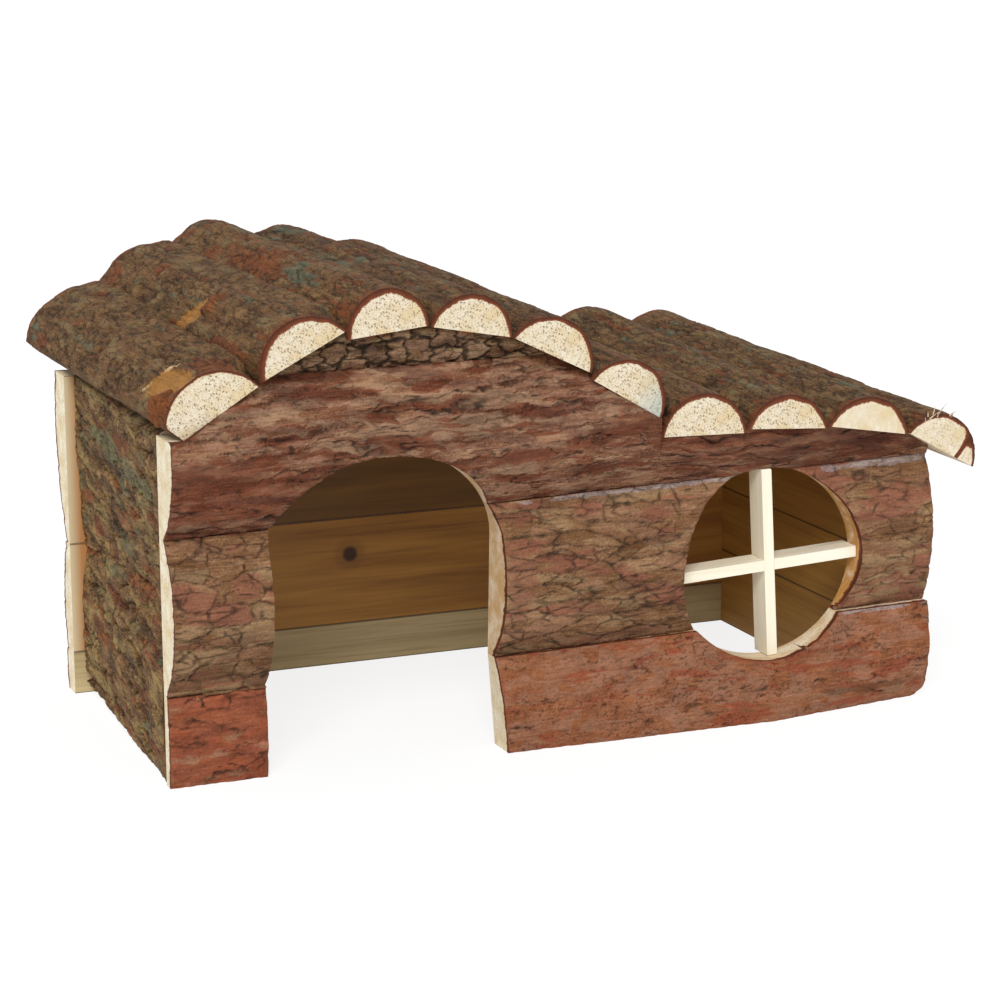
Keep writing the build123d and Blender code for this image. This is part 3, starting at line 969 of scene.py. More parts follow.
@dataclass
class BarkBoard:
    """A bark-faced slab: a fine bark patch, its sawn edges and its planed inner face.

    bottom and top are paths from its first end to its last, left and right from its bottom to its top,
    all in the wall's run and height. inner_top gives the top of the inner face where the roof's slope
    makes that differ. rims scales the thickness of the bark that a cut shows and aged says how brown its
    wood has gone, both by the cut's name. crown carries the bark over the top edge.
    """

    node: str
    wall: Wall
    bark: Bark
    bottom: np.ndarray
    top: np.ndarray
    left: np.ndarray
    right: np.ndarray
    spots: tuple[Spot, ...] = ()
    inner_top: np.ndarray | None = None
    coarse_rows: bool = True
    rims: dict[str, float] = field(default_factory=dict)
    aged: dict[str, float] = field(default_factory=dict)
    crown: bool = False
    chip: float = 0.5
    pith: float = 28.0
    thinnest_share: float = 0.35

    def grid(self) -> np.ndarray:
        """Fills the four edge paths with a patch.

        Returns:
            Its points as (rows, columns, 2), in the wall's run and height.
        """
        u = np.linspace(0, 1, len(self.bottom))[None, :, None]
        v = np.linspace(0, 1, len(self.left))[:, None, None]
        corners = (
            (1 - u) * (1 - v) * self.bottom[0]
            + u * (1 - v) * self.bottom[-1]
            + (1 - u) * v * self.top[0]
            + u * v * self.top[-1]
        )
        return (
            (1 - v) * self.bottom[None]
            + v * self.top[None]
            + (1 - u) * self.left[:, None]
            + u * self.right[:, None]
            - corners
        )

    def thickness(self, flat: np.ndarray) -> np.ndarray:
        """Measures the CAD board from its inner face to its bark.

        Args:
            flat: The patch, in the wall's run and height.

        Returns:
            The thickness at each point of the patch.
        """
        solid = Solid(self.node)
        outside, thinnest, rounds = 80.0, 1.0, 12
        inside = flat + (flat.reshape(-1, 2).mean(0) - flat) * 0.004
        starts = self.wall.place(inside[..., 0], inside[..., 1], np.full(flat.shape[:2], outside)).reshape(-1, 3)
        inward = tuple(-value for value in self.wall.out)
        depth = np.array([outside - solid.reach(start, inward) for start in starts]).reshape(flat.shape[:2])
        depth[depth < thinnest] = math.nan
        for _ in range(rounds):
            for shift, axis in ((1, 0), (-1, 0), (1, 1), (-1, 1)):
                moved = np.roll(depth, shift, axis)
                gaps = np.isnan(depth)
                if not gaps.any():
                    return depth
                depth[gaps] = moved[gaps]
        return np.nan_to_num(depth, nan=6.0)

    def build(self, materials: Sequence[bpy.types.Material]) -> bpy.types.Object:
        """Builds the board and dresses it.

        Args:
            materials: Bark, sawn and planed material.

        Returns:
            The finished piece.
        """
        flat = self.grid()
        s, z = flat[..., 0], flat[..., 1]
        rows, columns = s.shape
        depth = self.thickness(flat)
        surface = self.bark.surface(s, z, self.spots)
        # The bark is chipped along its edges, and its raw under-bark shows there.
        pitch_u = np.linalg.norm(np.diff(flat, axis=1), axis=-1).mean()
        pitch_v = np.linalg.norm(np.diff(flat, axis=0), axis=-1).mean()
        i, j = np.meshgrid(np.arange(columns), np.arange(rows))
        edge = np.minimum(np.minimum(i, columns - 1 - i) * pitch_u, np.minimum(j, rows - 1 - j) * pitch_v)
        chips = smooth(-0.1, 0.5, noise(s / 4.0, z / 4.0, self.bark.seed * 77)) * (1 - smooth(0.2, 1.8, edge))
        height = surface.height - self.chip * (0.4 * (1 - smooth(0.0, 0.9, edge)) + chips)
        height = cover(height, self.wall.place(s, z, depth))
        surface.shares[Mark.RUST] = np.maximum(surface.shares[Mark.RUST], min(2 * self.chip, 0.9) * chips)
        face = np.maximum(depth + height, self.thinnest_share * depth)
        shell = Shell(self.node + "_bark")
        turned = self.wall.turned
        offset = self.bark.seed * SEED_SHIFT
        shell.patch(
            self.wall.place(s, z, face), Finish.BARK, np.stack([s + offset, z, 0 * s], -1), turned, surface=surface
        )
        inner_z = z.copy()
        if self.inner_top is not None:
            inner_z = z[0] + (z - z[0]) * ((self.inner_top - z[0]) / (z[-1] - z[0]))
        # The planed face is flat, so it needs only the points on its outline and those beside its joints.
        row_pick = [0, 1, rows - 2, rows - 1] if self.coarse_rows else list(range(rows))
        column_pick = list(range(columns)) if self.coarse_rows else [0, columns - 1]
        pick = np.ix_(row_pick, column_pick)
        level = 0 * s[pick]
        # Zero on the outline's joints, where the planed material paints shade and dirt.
        off_joint = level + 1.0
        off_joint[[0, -1]] = 0.0
        shell.patch(
            self.wall.place(s[pick], inner_z[pick], level), Finish.PLANED,
            np.stack([s[pick], inner_z[pick], level], -1), not turned, under=off_joint,
        )
        # The cuts run from the bark to the inner face, with more points near the bark, where its rim shows.
        middle = z.mean()
        shares = np.array([0.0, 0.12, 0.3, 1.0])[:, None]
        sides = (
            ("bottom", (0, slice(None)), True), ("top", (rows - 1, slice(None)), False),
            ("left", (slice(None), 0), False), ("right", (slice(None), columns - 1), True),
        )
        for name, where, inner_first in sides:
            side_s = np.broadcast_to(s[where], (4, len(s[where])))
            side_z = z[where] + (inner_z[where] - z[where]) * shares
            side_depth = face[where] * (1 - shares)
            under = face[where] * shares / self.rims.get(name, 1.0)
            blank = np.zeros(side_s.shape)
            if self.crown and name == "top":
                over = Surface(
                    blank, blank + surface.crack_shade[-1], blank + surface.tone[-1],
                    {mark: blank + share[-1] for mark, share in surface.shares.items()},
                )
                grain = np.stack([side_s + offset, side_z + under, blank], -1)
                shell.patch(self.wall.place(side_s, side_z, side_depth), Finish.BARK, grain, turned, surface=over)
                continue
            if inner_first:
                side_z, side_depth, under = side_z[::-1], side_depth[::-1], under[::-1]
            brown = Surface.cut(blank, {Mark.LICHEN: self.aged.get(name, 0.0)})
            shell.patch(
                self.wall.place(side_s, side_z, side_depth), Finish.SAWN,
                np.stack([side_s, side_z - middle, side_depth + self.pith], -1), turned, under=under, surface=brown,
            )
        return shell.build(materials, self.node, "slab")


@dataclass(frozen=True)
class Stub:
    """Stump of a side branch on the first log's outer flank, covered with red bark."""

    y: float = -7.0
    z: float = 130.0
    turn: float = 30.0
    base_diameter: float = 14.0
    end_diameter: float = 11.0
    reach: float = 2.5
    root: float = 8.0
    step: float = 0.5
    dome_height: float = 1.5
    dome_rows: int = 14

    def add_to(self, shell: "Shell") -> None:
        """Adds the stump, its end domed.

        Args:
            shell: Shell of the log.
        """
        turn = math.radians(self.turn)
        axis = np.array([-math.cos(turn), -math.sin(turn), 0.0])
        side = np.array([math.sin(turn), -math.cos(turn), 0.0])
        around = np.linspace(0, 2 * math.pi, int(math.pi * self.base_diameter / self.step))[None, :]
        length = self.root + self.reach
        shaft = length - self.dome_height
        along = np.concatenate([np.arange(0, shaft, self.step), np.full(self.dome_rows, shaft)])[:, None]
        radius = self.base_diameter / 2 + (self.end_diameter - self.base_diameter) / 2 * along / length
        turned = np.linspace(0, math.pi / 2, self.dome_rows)
        dome = np.concatenate([np.zeros(len(along) - self.dome_rows), turned])[:, None]
        out = along + self.dome_height * np.sin(dome) - self.root
        rough = 0.35 * layers(3 * np.cos(around) + 0 * out, 3 * np.sin(around) + out / 4, 5, 4)
        radius = (radius + rough - 0.4) * np.cos(dome)
        grid = (
            np.array([0.0, self.y, self.z])
            + out[..., None] * axis
            + (radius * np.cos(around))[..., None] * side
            + (radius * np.sin(around))[..., None] * np.array([0.0, 0.0, 1.0])
        )
        blank = np.zeros(grid.shape[:2])
        # Painted shade in the bark's pits, which have no relief of their own.
        pits = smooth(0.25, 0.7, layers(4 * np.cos(around) + 0 * out, 4 * np.sin(around) + out / 2, 9, 3))
        shares = {mark: blank for mark in Mark} | {Mark.RUST: blank + 1.0}
        surface = Surface(blank, 0.7 * pits, 0.5 + 0.5 * rough, shares)
        grain = np.stack([radius * np.cos(around) + 900, radius * np.sin(around) + out, blank], -1)
        shell.patch(grid, Finish.BARK, grain, surface=surface)


@dataclass
class RoofLog:
    """A half log of the roof: bark over a sawn flat, cut square at both ends.

    fill widens the flanks behind the front end, left and right, where bark from both sides closes the
    valley. rims scales the thickness of the bark that the cut shows, left and right. stain is how blue the
    right half of the front cut is, and clean how much of its pores is missing.
    """

    number: int
    bark: Bark
    spots: tuple[Spot, ...] = ()
    fill: tuple[float, float] = (0.7, 0.7)
    shoulder: float = 0.0
    rims: tuple[float, float] = (1.0, 1.0)
    stain: float = 0.0
    clean: float = 0.0
    splinters: int = 0
    fissure: float | None = None
    stub: Stub | None = None
    probe_inset: float = 15.5
    rear_inset: float = 0.5
    row_stretch: float = 1.15
    pith_rise: float = 1.5
    rim_band: float = 4.0

    def torn_fibres(self, shell: "Shell", rim: np.ndarray) -> None:
        """Adds thin splinters that stand off the upper left of the front cut.

        Args:
            shell: Shell of the log.
            rim: Outline of the front cut, from left to right.
        """
        for index in range(self.splinters):
            # Six draws: place on the rim, lean along X, Y and Z, length, and how far under the rim it starts.
            chance = lattice(np.full(6, float(index)), np.arange(6.0), self.bark.seed)
            start = rim[int((0.12 + 0.38 * chance[0]) * len(rim))] + np.array([0.0, 0.6, -0.5 - 1.5 * chance[5]])
            lean = np.array([0.9 * (chance[1] - 0.6), -0.35 - 0.3 * chance[2], 0.5 + 0.5 * chance[3]])
            length = 3.0 + 4.0 * chance[4]
            along = np.linspace(0, 1, 6)[:, None, None]
            around = np.linspace(0, 2 * math.pi, 4)[None, :, None]
            ring = np.concatenate([np.cos(around), 0.4 * np.sin(around), np.sin(around)], -1)
            bend = np.array([chance[2] - 0.5, 0.2, -0.2]) * 2.0
            grid = start + lean * length * along + bend * along**2 + ring * 0.45 * (1.02 - along)
            shell.patch(grid, Finish.SAWN, grid, under=np.full(grid.shape[:2], NO_RIM))

    def flat_corners(self, solid: Solid) -> np.ndarray:
        """Finds the corners of the log's flat.

        Args:
            solid: The CAD log.

        Returns:
            The points as [front, rear][left, right].
        """
        used = sorted(
            {index for face, normal in zip(solid.faces, solid.normals) if normal.z < -0.82 for index in face}
        )
        points = solid.points[used]
        corners = []
        for end in (points[:, 1].min(), points[:, 1].max()):
            near = points[np.abs(points[:, 1] - end) < 0.3]
            corners.append([near[near[:, 0].argmin()], near[near[:, 0].argmax()]])
        return np.array(corners)

    def profile(self, solid: Solid, left: np.ndarray, right: np.ndarray, angles: np.ndarray) -> np.ndarray:
        """Measures the bark line over a stretch of the flat.

        Args:
            solid: The CAD log.
            left: Left edge of the flat.
            right: Right edge of the flat.
            angles: Directions from the flat's middle, from the left over the top to the right.

        Returns:
            The distance from the flat's middle in each direction.
        """
        middle = (left + right) / 2
        along = (right - left) / np.linalg.norm(right - left)
        rise = np.array([-along[2], 0.0, along[0]])
        start = middle + rise * 0.02
        reaches = np.array([solid.reach(start, rise * math.sin(a) - along * math.cos(a)) for a in angles])
        reaches[0] = reaches[-1] = np.linalg.norm(right - left) / 2
        known = ~np.isnan(reaches)
        return np.interp(angles, angles[known], reaches[known])

    def build(self, materials: Sequence[bpy.types.Material], step: float) -> bpy.types.Object:
        """Builds the log and dresses it.

        Args:
            materials: Bark, sawn and planed material.
            step: Spacing of the bark's points.

        Returns:
            The finished piece.
        """
        node = f"roof_log_{self.number:02d}"
        solid = Solid(node)
        corners = self.flat_corners(solid)
        front_y, rear_y = corners[0, 0, 1], corners[1, 0, 1]
        # The log's round is measured behind its front end and before its rear end.
        angles = np.linspace(0, math.pi, 121)
        first_probe, last_probe = front_y + self.probe_inset, rear_y - self.rear_inset

        def flat_edges(places: np.ndarray) -> tuple[np.ndarray, np.ndarray]:
            """Left and right edge of the flat at places along the log."""
            share = ((places - front_y) / (rear_y - front_y))[..., None]
            return tuple(corners[0, side] + (corners[1, side] - corners[0, side]) * share for side in (0, 1))

        arcs = [self.profile(solid, *flat_edges(place), angles) for place in (first_probe, last_probe)]
        path = np.stack([-np.cos(angles) * arcs[0], np.sin(angles) * arcs[0]], -1)
        run = traced(path)
        columns = int(run[-1] / step) + 1
        across = np.linspace(0, run[-1], columns)
        theta = np.interp(across, run, angles)
        rows = int((rear_y - front_y) / (step * self.row_stretch)) + 1
        y = np.linspace(front_y, rear_y, rows)
        # Along the log the round goes over from the first measured one to the last.
        share = ((y - first_probe) / (last_probe - first_probe))[:, None]
        radius = (1 - share) * np.interp(theta, angles, arcs[0]) + share * np.interp(theta, angles, arcs[1])
        left, right = flat_edges(y)
        middle = (left + right) / 2
        along = right - left
        along = along / np.linalg.norm(along, axis=1)[:, None]
        rise = np.stack([-along[:, 2], 0 * y, along[:, 0]], -1)
        outward = -np.cos(theta)[None, :, None] * along[:, None] + np.sin(theta)[None, :, None] * rise[:, None]
        s = np.broadcast_to(y[:, None], (rows, columns))
        t = np.broadcast_to(across[None, :], (rows, columns))
        surface = self.bark.surface(s, t, self.spots)
        # The bark is torn at the saw cuts and calm along the flat's edges.
        edge = np.minimum(t, run[-1] - t)
        ends = np.minimum(s - front_y, rear_y - s)
        torn = noise(s / 3.0, t / 5.0, self.bark.seed * 91)
        raw = 1 - smooth(1.5, 5.0, ends + 1.6 * torn)
        surface.shares[Mark.RUST] = np.maximum(surface.shares[Mark.RUST], 0.9 * raw)
        height = (surface.height - 0.25 * raw) * (0.3 + 0.7 * smooth(0.0, 7.0, ends))
        height = height * smooth(0.0, 3.0, edge)
        height = cover(height, middle[:, None] + outward * radius[..., None])
        # Its flanks are fuller where bark from both sides closes the valley.
        across_share = t / run[-1]
        fill = np.where(across_share < 0.5, *self.fill)
        widen = smooth(0.0, 3.0, edge) * (1 - smooth(5.0, 13.0, edge)) * smooth(front_y + 3, front_y + 16, s)
        lifted = smooth(front_y + 60, rear_y - 15, s) * smooth(0.5, 0.8, across_share)
        lifted = lifted * (1 - smooth(0.92, 1.0, across_share))
        height = height + fill * widen + self.shoulder * lifted
        grid = middle[:, None] + outward * (radius + height)[..., None]
        grid[..., 2] += 0.6 * fill * widen
        shell = Shell(node + "_bark")
        offset = self.bark.seed * SEED_SHIFT
        shell.patch(grid, Finish.BARK, np.stack([s + offset, t, 0 * s], -1), surface=surface)
        pith = middle + rise * self.pith_rise
        flat = np.stack([grid[:, -1], grid[:, 0]], 1)
        shell.patch(flat, Finish.PLANED, self.grain(flat, pith), under=np.full(flat.shape[:2], NO_RIM))
        for row, flip in ((0, False), (rows - 1, True)):
            rim = grid[row]
            across_flat = np.linspace(0, 1, columns)[:, None]
            base = rim[0] + (rim[-1] - rim[0]) * across_flat
            gap = np.linalg.norm(rim - base, axis=1)
            inset = np.minimum(self.rim_band / np.maximum(gap, 0.01), 0.9)[:, None]
            cap = np.stack([base, rim + (base - rim) * inset, rim])
            thick = self.rims[0] + (self.rims[1] - self.rims[0]) * across_flat[:, 0]
            under = np.stack([gap, gap * inset[:, 0], 0 * gap]) / thick
            if self.fissure and row == 0:
                split = np.linalg.norm(base - base[int(self.fissure * columns)], axis=1)
                under = np.minimum(under, 0.4 + 1.1 * split)
            blue = self.stain * smooth(0.45, 0.95, across_flat[:, 0])
            cut = Surface.cut(np.zeros(under.shape), {Mark.GREY: blue, Mark.RUST: self.clean})
            shell.patch(cap, Finish.SAWN, self.grain(cap, pith[row]), flip, under=under, surface=cut)
        self.torn_fibres(shell, grid[0])
        if self.stub:
            self.stub.add_to(shell)
        return shell.build(materials, node, "half_log")

    @staticmethod
    def grain(points: np.ndarray, pith: np.ndarray) -> np.ndarray:
        """Grain vector of points on a log.

        Args:
            points: The points.
            pith: Middle of the tree, one for all points or one for each row.

        Returns:
            The distance along the log, and both distances from the pith.
        """
        centre = pith[:, None] if pith.ndim == 2 else pith
        offset = points - centre
        return np.stack([points[..., 1], offset[..., 0], offset[..., 2]], -1)


# ---------------------------------------------------------------- walls


def columned(bottom: np.ndarray, top: np.ndarray, step: float) -> dict[str, np.ndarray]:
    """Edge paths of a board made of upright columns.

    Args:
        bottom: Path of the columns' feet.
        top: Path of their tops, with as many points.
        step: Spacing of the points in a column.

    Returns:
        The four paths by the names that BarkBoard has for them.
    """
    share = np.linspace(0, 1, int(max(top[:, 1] - bottom[:, 1]) / step) + 2)[:, None]
    left, right = (bottom[end] + (top[end] - bottom[end]) * share for end in (0, -1))
    return {"bottom": bottom, "top": top, "left": left, "right": right}


@dataclass(frozen=True)
class Doorway:
    """Arched doorway in the front wall."""

    left: float = 34.5
    width: float = 84.0
    spring: float = 77.0
    rise: float = 33.0
    waist: float = 1.0
    flare: float = 1.5
    waist_height: float = 31.5

    def right(self, z: np.ndarray) -> np.ndarray:
        """Right jamb's place at a height under the arch."""
        edge = self.left + self.width
        return np.interp(z, [0, self.waist_height, self.spring], [edge + self.flare, edge - self.waist, edge])

    def half(self, z: np.ndarray) -> np.ndarray:
        """Half the opening's width at a height in the arch."""
        return self.width / 2 * np.sqrt(np.clip(1 - ((z - self.spring) / self.rise) ** 2, 0, 1))

    def side(self, z: np.ndarray, sign: int) -> np.ndarray:
        """Finds an edge of the opening.

        Args:
            z: Height over the floor.
            sign: -1 for the left edge and 1 for the right.

        Returns:
            Its place along the wall.
        """
        middle = self.left + self.width / 2
        jamb = self.right(z) if sign > 0 else np.full(np.shape(z), self.left)
        return np.where(z > self.spring, middle + sign * self.half(z), jamb)

    def arch(self, x: np.ndarray) -> np.ndarray:
        """Height of the arch over a place along the wall."""
        share = (x - self.left - self.width / 2) / (self.width / 2)
        return self.spring + self.rise * np.sqrt(np.clip(1 - share**2, 0, 1))


@dataclass(frozen=True)
class Window:
    """Round window in the front wall, a little wider than tall."""

    x: float = 223.7
    z: float = 56.9
    width: float = 73.0
    height: float = 69.6

    def ring(self, first: float, last: float, count: int = 900) -> np.ndarray:
        """Points of the ring between two angles in degrees, counted from the right over the top."""
        turn = np.radians(np.linspace(first, last, count))
        return np.stack([self.x + self.width / 2 * np.cos(turn), self.z + self.height / 2 * np.sin(turn)], -1)


@dataclass
class FrontWall:
    """Seven boards around the doorway and the window."""

    length: float = WALL_LENGTH
    low_seam: float = 31.5
    low_climb: float = 5.0
    high_seam: float = 86.0
    high_climb: float = 5.5
    gable_seam: float = 139.0
    gap: float = 0.1
    worn_corner: float = 6.0
    step: float = 0.62
    doorway: Doorway = Doorway()
    window: Window = Window()
    wall: Wall = Wall((1, 0, 0), (0, -1, 0), (0, 0, 0))

    def low(self, x: np.ndarray) -> np.ndarray:
        """Height of the seam over the lowest course."""
        return self.low_seam + self.low_climb * np.asarray(x) / self.length

    def high(self, x: np.ndarray) -> np.ndarray:
        """Height of the seam under the upper board."""
        return self.high_seam + self.high_climb * np.asarray(x) / self.length

    def between(self, ring: np.ndarray) -> np.ndarray:
        """Part of a ring between the two seams."""
        return ring[(ring[:, 1] >= self.low(ring[:, 0])) & (ring[:, 1] <= self.high(ring[:, 0]) - self.gap)]

    def framed(self, left: np.ndarray, right: np.ndarray) -> dict[str, np.ndarray]:
        """Edge paths of a board between two upright paths.

        Args:
            left: Path of its left end.
            right: Path of its right end.

        Returns:
            The four paths by the names that BarkBoard has for them.
        """
        tall = max(np.ptp(left[:, 1]), np.ptp(right[:, 1]))
        wide = max(abs(right[0, 0] - left[0, 0]), abs(right[:, 0].mean() - left[:, 0].mean()))
        rows, columns = int(tall / self.step) + 2, int(wide / self.step) + 2
        left, right = even(left, rows), even(right, rows)
        share = np.linspace(0, 1, columns)[:, None]
        bottom, top = (left[end] + (right[end] - left[end]) * share for end in (0, -1))
        return {"bottom": bottom, "top": top, "left": left, "right": right}

    def posts(self) -> list[BarkBoard]:
        """Lays out the two boards left of the doorway.

        Returns:
            The boards, the lower one first.
        """
        z = np.linspace(self.low_seam + 0.3, self.high_seam + 0.5, 200)
        left = np.stack([0 * z, np.linspace(self.low(0), self.high(0) - self.gap, 200)], -1)
        right = np.stack([self.doorway.side(z, -1), z], -1)
        foot = self.low(self.doorway.left) - self.gap
        ends = ((0, self.low(0) - self.gap), (self.doorway.left, foot))
        lower = self.framed(*(line((x, 0), (x, height), 0.5) for x, height in ends))
        return [
            BarkBoard(
                "front_post_lower", self.wall,
                Bark(3, plate_cover=0.25, flake_height=0.2, furrow_depth=0.2, crack_depth=0.5, rust=0.7, grey=0.25),
                **lower, spots=(Spot(Mark.RUST, 17, 6.5, 40, 7), Spot(Mark.GREY, 17, 22, 36, 8, strength=0.5)),
            ),
            BarkBoard(
                "front_post_middle", self.wall,
                Bark(
                    5, plate_length=13, plate_width=8, plate_cover=0.85, crack_width=0.4, crack_depth=0.6,
                    rust=0.35, grey=0.5, pit_cover=0.3, warp=0.6, mottle=0.6,
                ),
                **self.framed(left, right),
                spots=(
                    Spot(Mark.DARK, 20, 40, 50, 8, strength=0.4), Spot(Mark.RUST, 10, 62, 14, 8, strength=0.75),
                    Spot(Mark.RUST, 25, 70, 12, 10, strength=0.7),
                ),
                coarse_rows=False,
            ),
        ]

    def sill(self) -> BarkBoard:
        """Lays out the board under the window.

        Returns:
            The board.
        """
        ring = self.window.ring(180, 360)
        ring = ring[ring[:, 1] <= self.low(ring[:, 0]) - self.gap]
        first = float(self.doorway.right(np.array(self.low(118.0))))
        before = line((first, self.low(first) - self.gap), ring[0], self.step)
        after = line(ring[-1], (self.length, self.low(self.length) - self.gap), self.step)
        dip = even(ring, int(traced(ring)[-1] / self.step))
        top = chain(before, dip, after)
        foot = float(self.doorway.right(np.array(0.0)))
        share = (top[:, 0] - top[0, 0]) / (top[-1, 0] - top[0, 0])
        x = foot + (self.length - foot) * share
        worn = np.clip((x - self.length) / self.worn_corner + 1, 0, 1)
        bottom = np.stack([x, self.worn_corner * (1 - np.sqrt(1 - worn**2))], -1)
        return BarkBoard(
            "front_sill_board", self.wall,
            Bark(
                7, plate_cover=0.1, mottle=0.4, crack_depth=0.4, furrow_length=9, furrow_width=2.2,
                furrow_share=0.1, furrow_depth=0.3, flake_height=0.1, flake_length=18, pit_cover=0.3, swell=0.9,
                streak=0.65, rust=0.3, grey=0.08,
            ),
            **columned(bottom, top, self.step),
            spots=(
                Spot(Mark.BARE, 268, 35.7, 40, 1.9, turn=1, depth=0.5, strength=0.6),
                Spot(Mark.GREY, 274, 4.5, 26, 4, turn=2, strength=0.9),
                Spot(Mark.DARK, 262, 7.5, 40, 3, strength=0.8),
            ),
            rims={"top": 1.3}, aged={"top": 0.6},
        )

    def middle(self) -> list[BarkBoard]:
        """Lays out the boards left and right of the window.

        Returns:
            The boards, the left one first.
        """
        ring_left = self.between(self.window.ring(250, 90))
        ring_right = self.between(self.window.ring(-70, 90))
        start = self.doorway.side(np.array(self.low(118.0)), 1)
        z = np.linspace(self.low(start), self.high(116.0) - self.gap, 300)
        jamb = np.stack([self.doorway.side(z, 1), z], -1)
        low, high = self.low(self.length), self.high(self.length) - self.gap
        end = np.stack([np.full(300, self.length), np.linspace(low, high, 300)], -1)
        strips = (
            Spot(Mark.BARE, 179, 88.6, 104, 1.9, turn=1.1, depth=0.6, strength=0.55, ragged=0.4),
            Spot(Mark.BARE, 272, 89.8, 60, 3.2, turn=1.1, depth=0.6, strength=0.55, ragged=0.35),
        )
        return [
            BarkBoard(
                "front_middle_board", self.wall,
                Bark(
                    11, plate_length=23, plate_width=6.5, plate_cover=0.8, warp=0.6, mottle=0.6, crack_width=0.4,
                    crack_depth=0.6, flake_height=0.15, furrow_depth=0.3, pit_cover=0.35, rust=0.3, grey=0.35,
                ),
                **self.framed(jamb, ring_left),
                spots=(
                    *strips, Spot(Mark.RUST, 152, 84, 16, 3.5, strength=0.9),
                    Spot(Mark.RUST, 177, 80, 15, 5, strength=0.8), Spot(Mark.RUST, 124, 62, 12, 26, strength=0.6),
                    Spot(Mark.DARK, 150, 37, 60, 5, strength=0.35),
                ),
                rims={"left": 1.3, "right": 1.3}, aged={"left": 0.7, "right": 0.7}, coarse_rows=False,
            ),
            BarkBoard(
                "front_corner_board", self.wall,
                Bark(
                    13, plate_length=26, plate_width=5.5, plate_cover=0.45, warp=0.6, mottle=0.6, crack_width=0.4,
                    crack_depth=0.5, flake_height=0.18, furrow_depth=0.3, pit_cover=0.35, rust=0.45, grey=0.4,
                ),
                **self.framed(ring_right, end),
                spots=(
                    *strips, Spot(Mark.RUST, 270.6, 79, 24, 2.4, turn=24.5, depth=0.5),
                    Spot(Mark.GREY, 275, 45, 30, 8, strength=0.6),
                ),
                rims={"left": 1.7}, aged={"left": 1.4}, coarse_rows=False,
            ),
        ]

    def upper(self) -> BarkBoard:
        """Lays out the long board over both openings, cut to the roof's line.

        Returns:
            The board.
        """
        door_x = np.linspace(self.doorway.left, self.doorway.left + self.doorway.width, 1200)
        arch = np.stack([door_x, self.doorway.arch(door_x)], -1)
        arch = arch[arch[:, 1] >= self.high(arch[:, 0])]
        ring = self.window.ring(170, 10)
        ring = ring[ring[:, 1] >= self.high(ring[:, 0])]
        dip = even(arch, int(traced(arch)[-1] / self.step))
        bottom = chain(
            line((0, self.high(0)), dip[0], self.step), dip, line(dip[-1], ring[0], self.step), even(ring, 30),
            line(ring[-1], (self.length, self.high(self.length)), self.step),
        )
        return BarkBoard(
            "front_upper_board", self.wall,
            Bark(
                17, plate_length=24, plate_width=5, plate_cover=0.3, crack_width=0.45, crack_depth=0.7,
                furrow_length=48, furrow_width=5, furrow_depth=0.7, furrow_share=0.07, flake_length=30,
                flake_width=4, flake_height=0.45, flake_count=6, swell=1.4, streak=0.85, rust=0.35, grey=0.35,
            ),
            **columned(bottom, self.roof_line("front_upper_board", bottom), self.step),
            spots=(
                Spot(Mark.GREY, 92, 119, 70, 10, turn=-3, strength=0.95, depth=-0.3),
                Spot(Mark.GREY, 110, 127, 50, 7, turn=-6, strength=0.9),
                Spot(Mark.GREY, 80, 129, 36, 4, strength=0.9), Spot(Mark.RUST, 92, 132, 12, 4),
                Spot(Mark.RUST, 129, 106, 30, 5, turn=4, strength=0.8),
                Spot(Mark.RUST, 16, 103, 60, 26, strength=0.75),
                Spot(Mark.RUST, 215, 106, 130, 22, turn=-9, strength=0.6),
                # Painted shadow of the roof's logs, along the top of the board under the eaves.
                Spot(Mark.DARK, 250, 98, 90, 14, strength=0.5),
                Spot(Mark.DARK, 184, 118, 60, 18, turn=-20, strength=0.5),
            ),
            rims={"top": 3.0}, aged={"bottom": 0.7},
        )

    def gable(self) -> BarkBoard:
        """Lays out the board under the roof's top.

        Returns:
            The board.
        """
        low, high = Solid("front_gable_board").low, Solid("front_gable_board").high
        bottom = line((low[0] + 0.6, self.gable_seam), (high[0] - 0.6, self.gable_seam), self.step)
        return BarkBoard(
            "front_gable_board", self.wall,
            Bark(
                19, plate_length=8, plate_width=7, plate_cover=1.0, crack_width=0.9, crack_depth=1.2, rust=0.1,
                grey=0.3,
            ),
            **columned(bottom, self.roof_line("front_gable_board", bottom), self.step),
        )

    def roof_line(self, node: str, bottom: np.ndarray) -> np.ndarray:
        """Finds the top of a board that ends at the roof.

        Args:
            node: The CAD board.
            bottom: Path of its bottom.

        Returns:
            The top over each point of that path.
        """
        solid = Solid(node)
        tops = np.array([solid.top(min(max(x, 0.05), self.length - 0.05), -0.5) for x in bottom[:, 0]])
        tops = np.where(np.isnan(tops), bottom[:, 1] + 0.2, tops)
        return np.stack([bottom[:, 0], np.maximum(tops, bottom[:, 1] + 0.2)], -1)

    def build(
        self, barks: dict[str, bpy.types.Material], sawn: bpy.types.Material, planed: bpy.types.Material
    ) -> None:
        """Builds all boards of the wall.

        Args:
            barks: Materials of the bark by its kind.
            sawn: Material of the cuts.
            planed: Material of the inner faces.
        """
        boards = (
            *zip(self.posts(), ("red", "plated")), (self.sill(), "red"), *zip(self.middle(), ("plated", "plated")),
            (self.upper(), "flowing"), (self.gable(), "dark"),
        )
        for board, bark in boards:
            board.build((barks[bark], sawn, planed))


